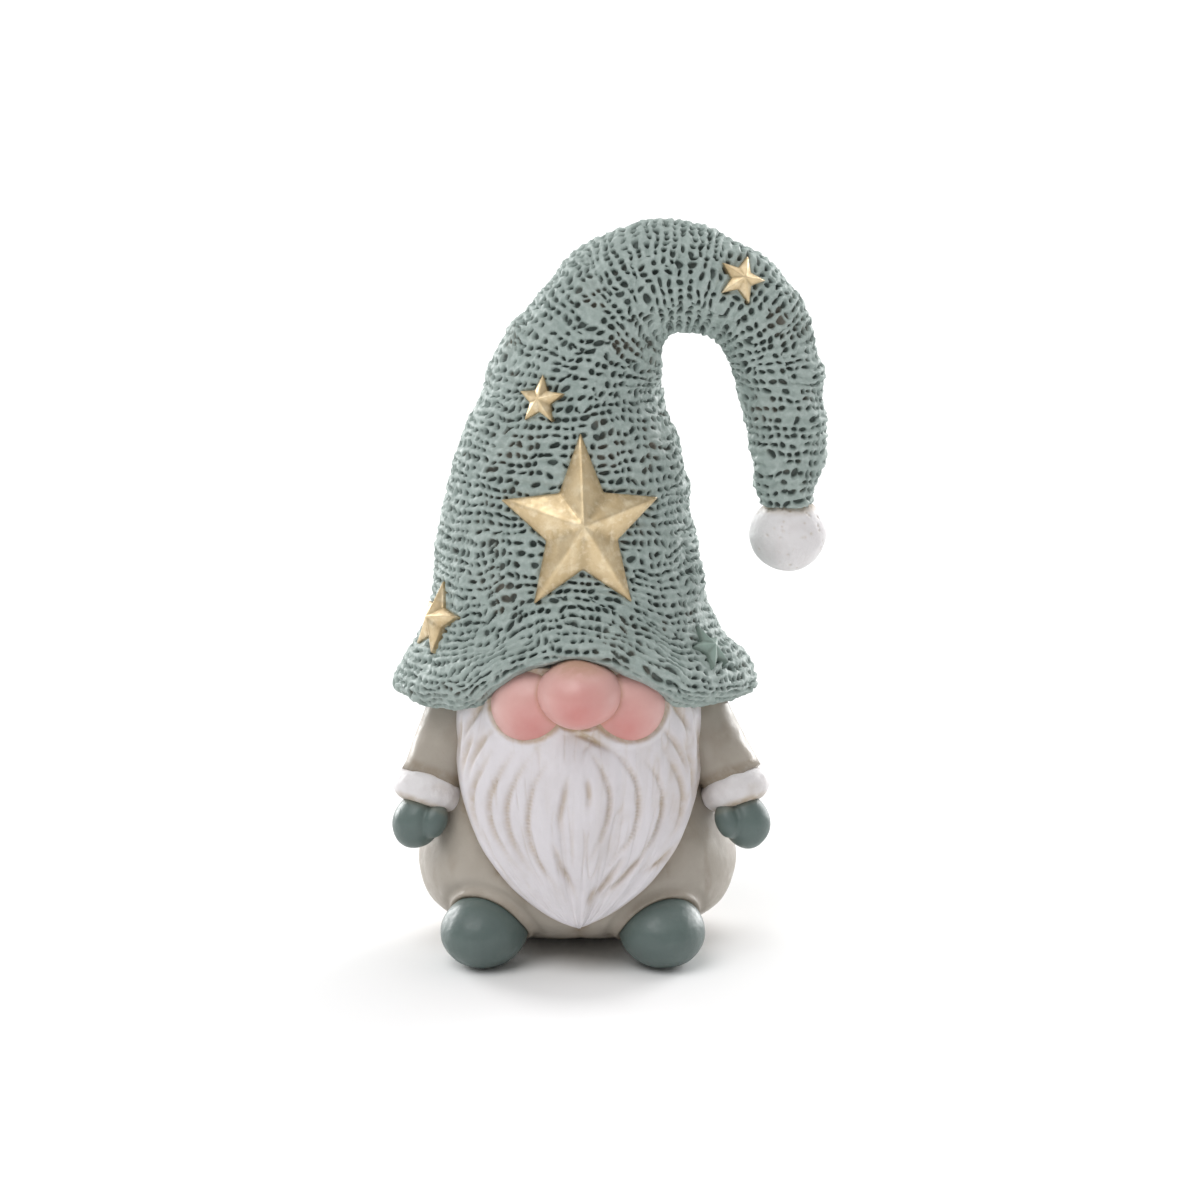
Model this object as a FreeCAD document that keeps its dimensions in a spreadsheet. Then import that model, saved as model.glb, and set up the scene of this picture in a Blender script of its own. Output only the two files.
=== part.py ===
import FreeCAD, Part

# Garden gnome ornament in painted cast resin, as the castings it would be glued up from.
# Millimetres. The gnome faces -Y and stands on Z = 0, with the origin under the middle of its coat.
# Its own left hand is on +X, the side that the hat's tail curls over to.

import math
import os

import Sketcher
from FreeCAD import Placement, Rotation, Vector

SIDES = (("left", 1), ("right", -1))
EACH_WAY = 200.0  # longer than the gnome, for tools that cut right through it

# Heights that end in _z are over the ground, and those that end in _up are over the coat's neck.
# name: (value, what it is)
SIZES = {
    # coat: a hollow pear on a flat foot
    "coat_wall": (4.5, "coat casting's wall"),
    "coat_foot_half_width": (25.0, "flat foot, side to side"),
    "coat_foot_half_depth": (14.0, "flat foot, front to back"),
    "coat_foot_back": (9.0, "how far behind the middle the flat foot lies"),
    "coat_hem_z": (6.8, "where the underside turns up"),
    "coat_hem_half_width": (33.0, ""),
    "coat_hem_half_depth": (26.5, ""),
    "coat_skirt_z": (11.2, ""),
    "coat_skirt_half_width": (37.2, ""),
    "coat_skirt_half_depth": (31.0, ""),
    "coat_belly_z": (18.0, "widest part"),
    "coat_belly_half_width": (39.6, ""),
    "coat_belly_half_depth": (33.5, ""),
    "coat_waist_z": (32.0, ""),
    "coat_waist_half_width": (36.8, ""),
    "coat_waist_half_depth": (31.5, ""),
    "coat_chest_z": (47.0, ""),
    "coat_chest_half_width": (32.2, ""),
    "coat_chest_half_depth": (28.5, ""),
    "coat_neck_z": (66.0, "flat top that the head stands on"),
    "coat_neck_half_width": (26.5, ""),
    "coat_neck_half_depth": (24.5, ""),
    # base disc let into the foot
    "base_disc_thickness": (3.0, ""),
    "base_disc_edge": (0.8, "chamfer round its upper edge"),
    "foot_rim": (3.5, "rim of coat left round the disc"),
    "foot_ledge": (2.0, "step in the coat that the disc is glued to"),
    "glue_gap": (0.1, "gap round each part that is let in"),
    # head, hidden by the face, the beard and the hat
    "head_half_width": (26.0, ""),
    "head_half_depth": (24.0, ""),
    "head_straight": (18.0, "height of the straight part"),
    "head_dome": (13.0, "height of the dome over it"),
    "neck_peg_radius": (8.0, "peg under the head"),
    "neck_peg_length": (4.0, "less than the coat's wall"),
    # nose and cheeks
    "nose_half_width": (10.2, ""),
    "nose_half_depth": (11.5, ""),
    "nose_half_height": (8.4, ""),
    "nose_x": (0.7, "a little off the middle"),
    "nose_y": (-34.0, ""),
    "nose_up": (4.1, ""),
    "cheek_half_width": (9.8, ""),
    "cheek_half_depth": (10.0, ""),
    "cheek_half_height": (10.2, ""),
    "cheek_left_x": (11.6, ""),
    "cheek_right_x": (10.6, ""),
    "cheek_y": (-27.5, ""),
    "cheek_up": (0.0, ""),
    # beard: a pointed arch upside down, over the front of the coat
    "beard_half_width": (30.9, ""),
    "beard_x": (0.6, "its middle line"),
    "beard_wide_up": (-11.0, "where it is widest"),
    "beard_tip_z": (11.4, ""),
    "beard_top_up": (10.0, "hidden under the brim"),
    "beard_back_y": (-8.0, "how far it wraps back"),
    "beard_tip_proud": (2.6, "thickness over the belly"),
    "beard_waist_proud": (6.0, ""),
    "beard_chest_proud": (9.0, ""),
    "beard_lip_proud": (9.5, ""),
    "beard_side_proud": (6.0, "thickness at its two sides"),
    # hat: stations up the crown, round the bend and down the tail
    "hat_wall": (5.0, "crown casting's wall"),
    "hat_flatness": (0.92, "crown's depth over its width"),
    "brim_lip_up": (-5.5, "underside of the brim"),
    "brim_lip_half_width": (39.0, ""),
    "brim_edge_up": (-1.7, "widest part of the brim"),
    "brim_edge_half_width": (44.3, ""),
    "brim_top_up": (5.5, ""),
    "brim_top_half_width": (41.8, ""),
    "crown_foot_up": (14.0, ""),
    "crown_foot_half_width": (36.4, ""),
    "crown_low_up": (27.0, ""),
    "crown_low_half_width": (32.9, ""),
    "crown_mid_up": (45.0, ""),
    "crown_mid_half_width": (29.6, ""),
    "crown_high_up": (61.0, ""),
    "crown_high_half_width": (26.2, ""),
    "crown_lean": (2.6, "how far the crown sways from the tail"),
    "bend_up": (74.2, "height of the bend's centre"),
    "bend_radius": (25.0, "of the middle line"),
    "bend_start_radius": (20.9, "cloth radius at 0 degrees"),
    "bend_shoulder_radius": (18.1, "at 33 degrees"),
    "bend_rise_radius": (16.5, "at 56 degrees"),
    "bend_top_radius": (14.3, "at 80 degrees"),
    "bend_fall_radius": (12.8, "at 108 degrees"),
    "bend_turn_radius": (11.1, "at 145 degrees"),
    "bend_draw": (2.2, "how far the shoulder is drawn in towards the bend's centre"),
    "bend_end_radius": (10.5, "at 180 degrees"),
    "tail_length": (30.0, "below the bend"),
    "tail_splay": (2.6, "how far the tail's end swings out"),
    "tail_upper_radius": (10.0, "three tenths down the tail"),
    "tail_half_radius": (9.2, "just past half way down"),
    "tail_end_radius": (6.3, ""),
    "hollow_top_up": (65.0, "top of the hollow in the crown"),
    "brim_tip_back": (9.0, "degrees that the brim is tipped back by"),
    "arch_crest_up": (13.4, "underside of the brim over the nose"),
    "arch_rise": (14.5, "how far the brim lifts over the nose"),
    "arch_half_width": (26.0, ""),
    "arch_slope": (11.0, "degrees that the arch climbs towards the front"),
    # pompom
    "pompom_radius": (9.4, ""),
    "pompom_lap": (1.7, "how deep it sits on the tail's end"),
    "pompom_peg_radius": (2.5, ""),
    "pompom_peg_length": (5.0, ""),
    # stars
    "big_star_tip": (20.8, "centre to tip"),
    "big_star_notch": (9.4, "centre to notch"),
    "big_star_peak": (4.6, "height of its ridge over its rim"),
    "big_star_sink": (0.3, "how far its rim is let in at the middle"),
    "big_star_up": (43.3, ""),
    "big_star_turn": (3.0, "degrees round the crown"),
    "crown_star_tip": (5.4, ""),
    "crown_star_up": (72.7, ""),
    "crown_star_turn": (-23.0, ""),
    "brim_star_tip": (8.8, ""),
    "brim_star_up": (17.5, ""),
    "brim_star_turn": (-70.0, ""),
    "plain_star_tip": (5.7, ""),
    "plain_star_up": (11.8, ""),
    "plain_star_turn": (59.0, ""),
    "tail_star_tip": (5.6, ""),
    "tail_star_angle": (120.0, "degrees round the bend"),
    "tail_star_out": (5.6, "outside the middle line"),
    "small_star_notch_share": (0.45, "notch over tip, on the small stars"),
    "small_star_peak_share": (0.32, "ridge height over tip"),
    # arms, aimed from the wrist up to the shoulder
    "wrist_left_x": (37.6, ""),
    "wrist_right_x": (35.4, ""),
    "wrist_y": (-12.0, ""),
    "wrist_up": (-21.5, ""),
    "arm_out": (20.0, "degrees that the arm hangs away from the body"),
    "arm_forward": (20.0, "degrees that it hangs forward"),
    "sleeve_left_out": (33.0, "degrees that the sleeve leans from the shoulder out to the wrist"),
    "sleeve_right_out": (26.0, ""),
    "sleeve_end_lap": (3.0, "sleeve past the wrist, before it is cut square to the hand"),
    "sleeve_length": (25.0, ""),
    "sleeve_wrist_radius": (7.5, ""),
    "sleeve_shoulder_radius": (9.3, ""),
    "cuff_radius": (8.2, ""),
    "cuff_height": (8.2, ""),
    "cuff_roll": (3.1, "fillet round both of its edges"),
    "arm_peg_radius": (3.0, "pegs through the cuff"),
    "palm_half_width": (5.9, ""),
    "palm_half_length": (6.9, ""),
    "palm_drop": (4.0, "its centre below the cuff"),
    "thumb_half_width": (3.2, ""),
    "thumb_half_length": (4.6, ""),
    "thumb_out": (5.4, "from the palm's middle"),
    # boots
    "boot_half_width": (10.4, ""),
    "boot_half_length": (12.0, ""),
    "boot_half_height": (8.9, ""),
    "boot_left_x": (20.9, ""),
    "boot_right_x": (22.6, ""),
    "boot_y": (-25.5, ""),
    "boot_sole_drop": (8.4, "boot's middle over its flat sole"),
    "boot_splay": (14.0, "degrees that the toes turn out"),
}

doc = FreeCAD.newDocument("GardenGnome")
sheet = doc.addObject("Spreadsheet::Sheet", "Sizes")


def fill_sheet():
    """Writes each size, its alias and its note on a row of its own."""
    for row, (name, (value, note)) in enumerate(SIZES.items(), start=1):
        sheet.set(f"A{row}", name)
        sheet.set(f"B{row}", str(value))
        sheet.set(f"C{row}", note)
        sheet.setAlias(f"B{row}", name)
    doc.recompute()


def size(name):
    """A driving size, read back from the sheet."""
    return float(sheet.get(name))


def over_neck(name):
    """The height over the ground of a size that is given over the coat's neck."""
    return size("coat_neck_z") + size(name)


def bind(item, **formulas):
    """Binds properties to formulas over the sheet. A double underscore stands for a dot."""
    for name, formula in formulas.items():
        words = formula.split()
        text = " ".join(f"Sizes.{w}" if w in SIZES else w for w in words)
        item.setExpression(name.replace("__", "."), text)
    return item


def named(item, label):
    item.Label = label
    return item


# ---------- small tools ----------


def ring(name, middle, half_width, half_depth, turn=Rotation()):
    """An ellipse across the gnome about middle (x, y and z formulas), turned from level.

    It is never narrower than it is deep, so that every ring of a loft starts at its +X end.
    """
    x, y, z = middle
    ellipse = doc.addObject("Part::Ellipse", name)
    ellipse.Placement = Placement(Vector(0, 0, 0), turn)
    bind(ellipse, MajorRadius=f"max( {half_width} ; {half_depth} )", MinorRadius=half_depth)
    bind(ellipse, Placement__Base__x=x, Placement__Base__y=y, Placement__Base__z=z)
    return ellipse


def loft(label, rings):
    solid = doc.addObject("Part::Loft", label)
    solid.Sections = rings
    solid.Solid = True
    solid.Ruled = False
    return solid


def ellipsoid(name, half_width, half_depth, half_height, turn=Rotation()):
    """An ellipsoid about the origin, its seam to the front, then turned."""
    solid = doc.addObject("Part::Ellipsoid", name)
    solid.Angle1 = -90
    solid.Placement = Placement(Vector(0, 0, 0), turn * Rotation(Vector(0, 0, 1), -90))
    bind(solid, Radius1=half_height, Radius2=half_depth, Radius3=half_width)
    return solid


def move_to(solid, point):
    solid.Placement = Placement(point, solid.Placement.Rotation)


def peg(name, radius, length, base, direction):
    """A round peg from a point along a direction."""
    rod = doc.addObject("Part::Cylinder", name)
    bind(rod, Radius=radius, Height=length)
    rod.Placement = Placement(base, Rotation(Vector(0, 0, 1), direction))
    return rod


def cut(label, base, *tools):
    """base with every tool taken away, one after another."""
    shape = base
    for number, tool in enumerate(tools):
        step = doc.addObject("Part::Cut", f"{label}_cut_{number}")
        step.Base = shape
        step.Tool = tool
        step.Refine = False
        shape = step
    return named(shape, label)


def fuse(label, *shapes):
    whole = doc.addObject("Part::MultiFuse", f"{label}_fused")
    whole.Shapes = list(shapes)
    whole.Refine = False
    return named(whole, label)


def common(label, *shapes):
    whole = doc.addObject("Part::MultiCommon", f"{label}_common")
    whole.Shapes = list(shapes)
    whole.Refine = False
    return named(whole, label)


def origin_plane(body, role):
    return next(f for f in body.Origin.OriginFeatures if f.Role == role)


def sketch_on(body, name, role="XY_Plane"):
    sketch = body.newObject("Sketcher::SketchObject", name)
    sketch.AttachmentSupport = [(origin_plane(body, role), "")]
    sketch.MapMode = "FlatFace"
    return sketch


def circle_sketch(body, name, radius):
    """A circle about the body's own origin, with its radius bound to a formula."""
    sketch = sketch_on(body, name)
    sketch.addGeometry(Part.Circle(Vector(0, 0, 0), Vector(0, 0, 1), 1.0), False)
    sketch.addConstraint(Sketcher.Constraint("Coincident", 0, 3, -1, 1))
    held = sketch.addConstraint(Sketcher.Constraint("Radius", 0, 1.0))
    bind(sketch, **{f"Constraints[{held}]": radius})
    return sketch


# ---------- coat and base disc ----------

COAT_LEVELS = (
    ("foot", "0", "coat_foot_back"),
    ("hem", "coat_hem_z", "0.12 * coat_foot_back"),
    ("skirt", "coat_skirt_z", "0"),
    ("belly", "coat_belly_z", "0"),
    ("waist", "coat_waist_z", "0"),
    ("chest", "coat_chest_z", "0"),
    ("neck", "coat_neck_z", "0"),
)


def coat_rings(name, levels, inset, top_inset="0"):
    """The coat's rings at some of its levels, all drawn in by inset."""
    return [
        ring(
            f"{name}_{level}",
            ("0", back, z if level != "neck" else f"{z} - {top_inset}"),
            f"coat_{level}_half_width - {inset}",
            f"coat_{level}_half_depth - {inset}",
        )
        for level, z, back in levels
    ]


def plate(name, inset, bottom, thickness):
    """A flat elliptical plate inside the foot's outline."""
    outline = ring(
        f"{name}_outline",
        ("0", "coat_foot_back", bottom),
        f"coat_foot_half_width - ( {inset} )",
        f"coat_foot_half_depth - ( {inset} )",
    )
    body = doc.addObject("Part::Extrusion", name)
    body.Base = outline
    body.Dir = Vector(0, 0, 1)
    body.Solid = True
    bind(body, LengthFwd=thickness)
    return body


def make_coat():
    """The whole pear, for trimming its neighbours, and the hollow casting itself."""
    pear = loft("coat_pear", coat_rings("pear", COAT_LEVELS, "0"))
    hollow = loft("coat_hollow", coat_rings("hollow", COAT_LEVELS[2:], "coat_wall", "coat_wall"))
    mouth = plate("coat_mouth", "foot_rim + foot_ledge", "-1", "coat_skirt_z + 1 + 0.5")
    recess = plate("coat_recess", "foot_rim", "-1", "base_disc_thickness + 1")
    socket = peg(
        "neck_socket",
        "neck_peg_radius + glue_gap",
        "neck_peg_length + glue_gap",
        Vector(0, 0, size("coat_neck_z")),
        Vector(0, 0, -1),
    )
    return pear, cut("coat", pear, hollow, mouth, recess, socket)


def make_base_disc():
    blank = plate("base_disc_blank", "foot_rim + glue_gap", "0", "base_disc_thickness")
    doc.recompute()
    disc = doc.addObject("Part::Chamfer", "base_disc_chamfer")
    disc.Base = blank
    width = size("base_disc_edge")
    top = size("base_disc_thickness")
    rims = [
        number
        for number, edge in enumerate(blank.Shape.Edges, start=1)
        if all(abs(v.Z - top) < 1e-6 for v in edge.Vertexes)
    ]
    disc.Edges = [(number, width, width) for number in rims]
    return named(disc, "base_disc")


# ---------- head and face ----------


def make_head():
    """The head's blank, for trimming its neighbours, and the head with its neck peg."""
    middle = ("0", "0", "coat_neck_z")
    foot = ring("head_outline", middle, "head_half_width", "head_half_depth")
    post = doc.addObject("Part::Extrusion", "head_post")
    post.Base = foot
    post.Dir = Vector(0, 0, 1)
    post.Solid = True
    bind(post, LengthFwd="head_straight")
    dome = ellipsoid("head_top", "head_half_width", "head_half_depth", "head_dome")
    dome.Angle1 = 0
    bind(dome, Placement__Base__z="coat_neck_z + head_straight")
    blank = fuse("head_blank", post, dome)
    neck = peg(
        "neck_peg",
        "neck_peg_radius",
        "neck_peg_length",
        Vector(0, 0, size("coat_neck_z")),
        Vector(0, 0, -1),
    )
    return blank, fuse("head", blank, neck)


def make_nose(head_blank):
    nose = ellipsoid("nose_blank", "nose_half_width", "nose_half_depth", "nose_half_height")
    bind(nose, Placement__Base__x="nose_x", Placement__Base__y="nose_y")
    bind(nose, Placement__Base__z="coat_neck_z + nose_up")
    return nose, cut("nose", nose, head_blank)


def make_cheek(side, sign, coat_pear, head_blank, nose_blank):
    name = f"cheek_{side}_blank"
    blank = ellipsoid(name, "cheek_half_width", "cheek_half_depth", "cheek_half_height")
    bind(blank, Placement__Base__x=f"{sign} * cheek_{side}_x")
    bind(blank, Placement__Base__y="cheek_y", Placement__Base__z="coat_neck_z + cheek_up")
    trimmed = cut(f"cheek_{side}", blank, head_blank, nose_blank, coat_pear)
    return blank, trimmed


def make_bare_face():
    """The middle of the face over the coat's neck, where the nose and the cheeks leave no room for hair."""
    box = doc.addObject("Part::Box", "bare_face")
    bind(box, Length="cheek_left_x + cheek_right_x + cheek_half_width")
    box.Width = EACH_WAY
    bind(box, Height="beard_top_up + 1")
    bind(box, Placement__Base__x="-1 * cheek_right_x - cheek_half_width / 2")
    bind(box, Placement__Base__y=f"-1 * {EACH_WAY}", Placement__Base__z="coat_neck_z")
    return box


def make_beard(trims):
    """Two round outlines that meet in a point, through a bulge that stands proud of the coat."""
    wide_z = over_neck("beard_wide_up")
    half_width, drop = size("beard_half_width"), wide_z - size("beard_tip_z")
    radius = (half_width**2 + drop**2) / (2 * half_width)
    outlines = []
    for side, sign in SIDES:
        outline = doc.addObject("Part::Cylinder", f"beard_outline_{side}")
        outline.Radius = radius
        bind(outline, Height=f"{EACH_WAY} + beard_back_y")
        x = size("beard_x") + sign * (half_width - radius)
        centre = Vector(x, size("beard_back_y"), wide_z)
        outline.Placement = Placement(centre, Rotation(Vector(0, 0, 1), Vector(0, -1, 0)))
        outlines.append(outline)
    wide = "beard_side_proud"
    levels = (
        ("tip", "0", "belly", "beard_tip_proud"),
        ("belly", "coat_belly_z", "belly", "beard_tip_proud + 0.6"),
        ("waist", "coat_waist_z", "waist", "beard_waist_proud"),
        ("chest", "coat_chest_z", "chest", "beard_chest_proud"),
        ("lip", "coat_neck_z + beard_top_up", "neck", "beard_lip_proud"),
    )
    rings = [
        ring(
            f"beard_{name}",
            ("beard_x", "0", z),
            f"coat_{level}_half_width + {wide}",
            f"coat_{level}_half_depth + {proud}",
        )
        for name, z, level, proud in levels
    ]
    bulge = loft("beard_bulge", rings)
    return cut("beard", common("beard_blank", bulge, *outlines), *trims)


# ---------- hat ----------

# level, share of crown_lean that it sways by, share of brim_tip_back that it is tipped by
CROWN_LEVELS = (
    ("brim_lip", 0.0, 1.0),
    ("brim_edge", 0.0, 1.0),
    ("brim_top", 0.2, 0.9),
    ("crown_foot", 0.4, 0.7),
    ("crown_low", 0.7, 0.45),
    ("crown_mid", 1.0, 0.2),
    ("crown_high", 0.7, 0.0),
)
# level, degrees round the bend, share of bend_draw that it is drawn in by
BEND_LEVELS = (
    ("start", 0, 0.0),
    ("shoulder", 33, 1.0),
    ("rise", 56, 0.6),
    ("top", 80, -0.3),
    ("fall", 108, -0.3),
    ("turn", 145, 0.3),
    ("end", 180, 0.0),
)
# level, share of tail_length down, share of tail_splay out
TAIL_LEVELS = (("upper", 0.3, 0.7), ("half", 0.55, 0.9), ("end", 1, 1))
BEND_MIDDLE = "bend_radius - 0.24 * crown_lean"  # x of the bend's centre


def crown_ring(level, sway, tip):
    turn = Rotation(Vector(1, 0, 0), -tip * size("brim_tip_back"))
    middle = (f"-{sway} * crown_lean", "0", f"coat_neck_z + {level}_up")
    half_width = f"{level}_half_width"
    return ring(f"crown_{level}", middle, half_width, f"( {half_width} ) * hat_flatness", turn)


def bend_ring(level, degrees, draw):
    """The hat's round section a number of degrees past the top of the straight crown."""
    reach = f"( bend_radius - {draw} * bend_draw )"
    x = f"{BEND_MIDDLE} - {reach} * cos( {degrees} deg )"
    z = f"coat_neck_z + bend_up + {reach} * sin( {degrees} deg )"
    radius = f"bend_{level}_radius"
    turn = Rotation(Vector(0, 1, 0), degrees)
    return ring(f"bend_{level}", (x, "0", z), radius, radius, turn)


def tail_ring(level, down, out):
    x = f"{BEND_MIDDLE} + bend_radius + {out} * tail_splay"
    z = f"coat_neck_z + bend_up - {down} * tail_length"
    radius = f"tail_{level}_radius"
    return ring(f"tail_{level}", (x, "0", z), radius, radius, Rotation(Vector(0, 1, 0), 180))


def make_hat_blank():
    """The hat as a solid, with its brim arched up over the nose."""
    rings = [crown_ring(*level) for level in CROWN_LEVELS]
    rings += [bend_ring(*level) for level in BEND_LEVELS]
    rings += [tail_ring(*level) for level in TAIL_LEVELS]
    whole = loft("hat_whole", rings)
    rise, half = size("arch_rise"), size("arch_half_width")
    radius = (half**2 + rise**2) / (2 * rise)
    reach = size("brim_edge_half_width") * size("hat_flatness")
    climb = reach * math.tan(math.radians(size("arch_slope")))
    arch = doc.addObject("Part::Cylinder", "brim_arch")
    arch.Radius = radius
    arch.Height = EACH_WAY
    turn = Rotation(Vector(0, 0, 1), Vector(0, -reach, climb))
    crest = Vector(0, 0, over_neck("arch_crest_up") - climb)
    upright = Vector(0, climb, reach).normalize()
    arch.Placement = Placement(crest - upright * radius, turn)
    return cut("hat_blank", whole, arch)


def make_hat(hat_blank, coat_pear, head_blank, nose_blank, cheek_blanks):
    """The knitted hat: a hollow crown over the head, and a solid bend and tail."""
    bore_size = ("head_half_width + glue_gap", "head_half_depth + glue_gap")
    outline = ring("hat_bore_outline", ("0", "0", "coat_chest_z"), *bore_size)
    bore = doc.addObject("Part::Extrusion", "hat_bore")
    bore.Base = outline
    bore.Dir = Vector(0, 0, 1)
    bore.Solid = True
    bind(bore, LengthFwd="coat_neck_z + crown_low_up - coat_chest_z")
    middle = ("-1 * crown_lean", "0", "coat_neck_z + crown_mid_up")
    girth = ("crown_mid_half_width - hat_wall", "crown_mid_half_width * hat_flatness - hat_wall")
    roof = ("-0.7 * crown_lean", "0", "coat_neck_z + hollow_top_up")
    roof_size = ("0.6 * crown_high_half_width", "0.6 * crown_high_half_width * hat_flatness")
    rings = [
        ring("hollow_foot", ("0", "0", "coat_neck_z + crown_low_up"), *bore_size),
        ring("hollow_middle", middle, *girth),
        ring("hollow_roof", roof, *roof_size),
    ]
    hollow = loft("hat_hollow", rings)
    return cut("hat", hat_blank, bore, hollow, coat_pear, nose_blank, *cheek_blanks, pompom_socket())


def bend_centre():
    return Vector(size("bend_radius") - 0.24 * size("crown_lean"), 0, over_neck("bend_up"))


def tail_tip():
    """The middle of the tail's end."""
    out = size("bend_radius") + size("tail_splay")
    return bend_centre() + Vector(out, 0, -size("tail_length"))


def pompom_socket():
    radius, length = "pompom_peg_radius + glue_gap", "pompom_peg_length + glue_gap"
    return peg("pompom_socket", radius, length, tail_tip(), Vector(0, 0, 1))


def make_pompom(hat_blank):
    """A ball lapped over the tail's end, with a peg up into it."""
    ball = doc.addObject("Part::Sphere", "pompom_ball")
    bind(ball, Radius="pompom_radius")
    drop = size("pompom_radius") - size("pompom_lap")
    ball.Placement = Placement(tail_tip() - Vector(0, 0, drop), Rotation())
    trimmed = cut("pompom_trimmed", ball, hat_blank)
    below = tail_tip() - Vector(0, 0, 1)
    pin = peg("pompom_peg", "pompom_peg_radius", "pompom_peg_length + 1", below, Vector(0, 0, 1))
    return fuse("pompom", trimmed, pin)


# ---------- stars ----------

STAR_POINTS = 5
STAR_ROOT = 9.0  # how far a star's blank reaches back, to be trimmed to the hat


def star_body(name, tip, notch, peak):
    """A five-pointed star with ridged arms, its rim on the body's XY plane."""
    body = doc.addObject("PartDesign::Body", name)
    outline = sketch_on(body, f"{name}_outline")
    step = 360 / (2 * STAR_POINTS)
    corners = [(tip if n % 2 == 0 else notch, 90 + n * step) for n in range(2 * STAR_POINTS)]
    spots = [Vector(math.cos(math.radians(a)), math.sin(math.radians(a)), 0) for _, a in corners]
    for n in range(len(spots)):
        outline.addGeometry(Part.LineSegment(spots[n], spots[(n + 1) % len(spots)]), False)
    for n in range(len(spots)):
        following = (n + 1) % len(spots)
        outline.addConstraint(Sketcher.Constraint("Coincident", n, 2, following, 1))
    for n, (reach, angle) in enumerate(corners):
        for kind, wave, start in (("DistanceX", "cos", spots[n].x), ("DistanceY", "sin", spots[n].y)):
            held = outline.addConstraint(Sketcher.Constraint(kind, -1, 1, n, 1, start))
            bind(outline, **{f"Constraints[{held}]": f"( {reach} ) * {wave}( {angle} deg )"})
    root = body.newObject("PartDesign::Pad", f"{name}_root")
    root.Profile = outline
    root.Length = STAR_ROOT
    root.Reversed = True
    summit = sketch_on(body, f"{name}_summit")
    summit.addGeometry(Part.Point(Vector(0, 0, 0)), False)
    summit.addConstraint(Sketcher.Constraint("Coincident", 0, 1, -1, 1))
    bind(summit, AttachmentOffset__Base__z=peak)
    doc.recompute()
    ridges = body.newObject("PartDesign::AdditiveLoft", f"{name}_ridges")
    ridges.Profile = outline
    ridges.Sections = [(summit, ("",))]
    ridges.Ruled = True
    return body


def seat_on(shape, start, direction):
    """Where a ray leaves a solid, and the outward normal there."""
    ray = Part.LineSegment(start, start + direction * EACH_WAY).toShape()
    inside = shape.common(ray)
    point = max((v.Point for v in inside.Vertexes), key=lambda p: (p - start).Length)
    spot = Part.Vertex(point)
    face = min(shape.Faces, key=lambda f: f.distToShape(spot)[0])
    normal = face.normalAt(*face.Surface.parameter(point))
    return point, normal if normal.dot(direction) > 0 else -normal


def place_star(body, hat_blank, start, direction, sink, up):
    """Lays a star's rim on the hat with one of its points turned towards up."""
    point, normal = seat_on(hat_blank.Shape, start, direction)
    body.Placement = Placement(point - normal * sink, Rotation(Vector(), up, normal, "ZYX"))


def around(degrees):
    """A level direction, in degrees round from the front towards +X."""
    return Vector(math.sin(math.radians(degrees)), -math.cos(math.radians(degrees)), 0)


def make_stars(hat_blank):
    """Trims every star to the hat's own surface."""
    up = Vector(0, 0, 1)
    small_notch, small_peak = "* small_star_notch_share", "* small_star_peak_share"
    stars = [("big", "big_star_notch", "big_star_peak", size("big_star_sink"))]
    stars += [
        (name, f"{name}_star_tip {small_notch}", f"{name}_star_tip {small_peak}", 0.2)
        for name in ("crown", "brim", "plain")
    ]
    made = []
    for name, notch, peak, sink in stars:
        body = star_body(f"{name}_star_body", f"{name}_star_tip", notch, peak)
        start = Vector(0, 0, over_neck(f"{name}_star_up"))
        direction = around(size(f"{name}_star_turn"))
        place_star(body, hat_blank, start, direction, sink, up)
        made.append(cut(f"star_{name}", body, hat_blank))
    tip = "tail_star_tip"
    body = star_body("tail_star_body", tip, f"{tip} {small_notch}", f"{tip} {small_peak}")
    angle = math.radians(size("tail_star_angle"))
    reach = size("bend_radius") + size("tail_star_out")
    start = bend_centre() + Vector(-math.cos(angle), 0, math.sin(angle)) * reach
    place_star(body, hat_blank, start, Vector(0, -1, 0), 0.2, Vector(1, 0, 0))
    made.append(cut("star_tail", body, hat_blank))
    return made


# ---------- arms ----------


def arm_line(side, sign, lean="arm_out"):
    """The wrist, and the unit direction down the hand, or down the sleeve if that is its lean."""
    out, forward = math.radians(size(lean)), math.radians(size("arm_forward"))
    down = Vector(sign * math.tan(out), -math.tan(forward), -1).normalize()
    return Vector(sign * size(f"wrist_{side}_x"), size("wrist_y"), over_neck("wrist_up")), down


def under_brim():
    """Everything above the flat underside of the brim's lip."""
    block = doc.addObject("Part::Box", "above_the_lip")
    block.Length = block.Width = block.Height = EACH_WAY
    turn = Rotation(Vector(1, 0, 0), -size("brim_tip_back"))
    corner = turn.multVec(Vector(-EACH_WAY / 2, -EACH_WAY / 2, 0))
    block.Placement = Placement(corner + Vector(0, 0, over_neck("brim_lip_up")), turn)
    return block


def make_sleeve(side, sign, trims):
    """A sleeve that leans in to the shoulder, cut square to the hand where the cuff meets it."""
    wrist, down = arm_line(side, sign)
    lean = arm_line(side, sign, f"sleeve_{side}_out")[1]
    blank = doc.addObject("Part::Cone", f"sleeve_{side}_blank")
    bind(blank, Radius1="sleeve_wrist_radius", Radius2="sleeve_shoulder_radius")
    bind(blank, Height="sleeve_length + sleeve_end_lap")
    blank.Placement = Placement(wrist + lean * size("sleeve_end_lap"), Rotation(Vector(0, 0, 1), -lean))
    past = peg(f"sleeve_{side}_past", "2 * cuff_radius", "3 * cuff_height", wrist, down)
    trimmed = cut(f"sleeve_{side}_trimmed", blank, past, *trims)
    radius, length = "arm_peg_radius", "cuff_height / 2 + 2"
    pin = peg(f"sleeve_{side}_peg", radius, length, wrist - down * 2, down)
    return fuse(f"sleeve_{side}", trimmed, pin)


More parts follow.
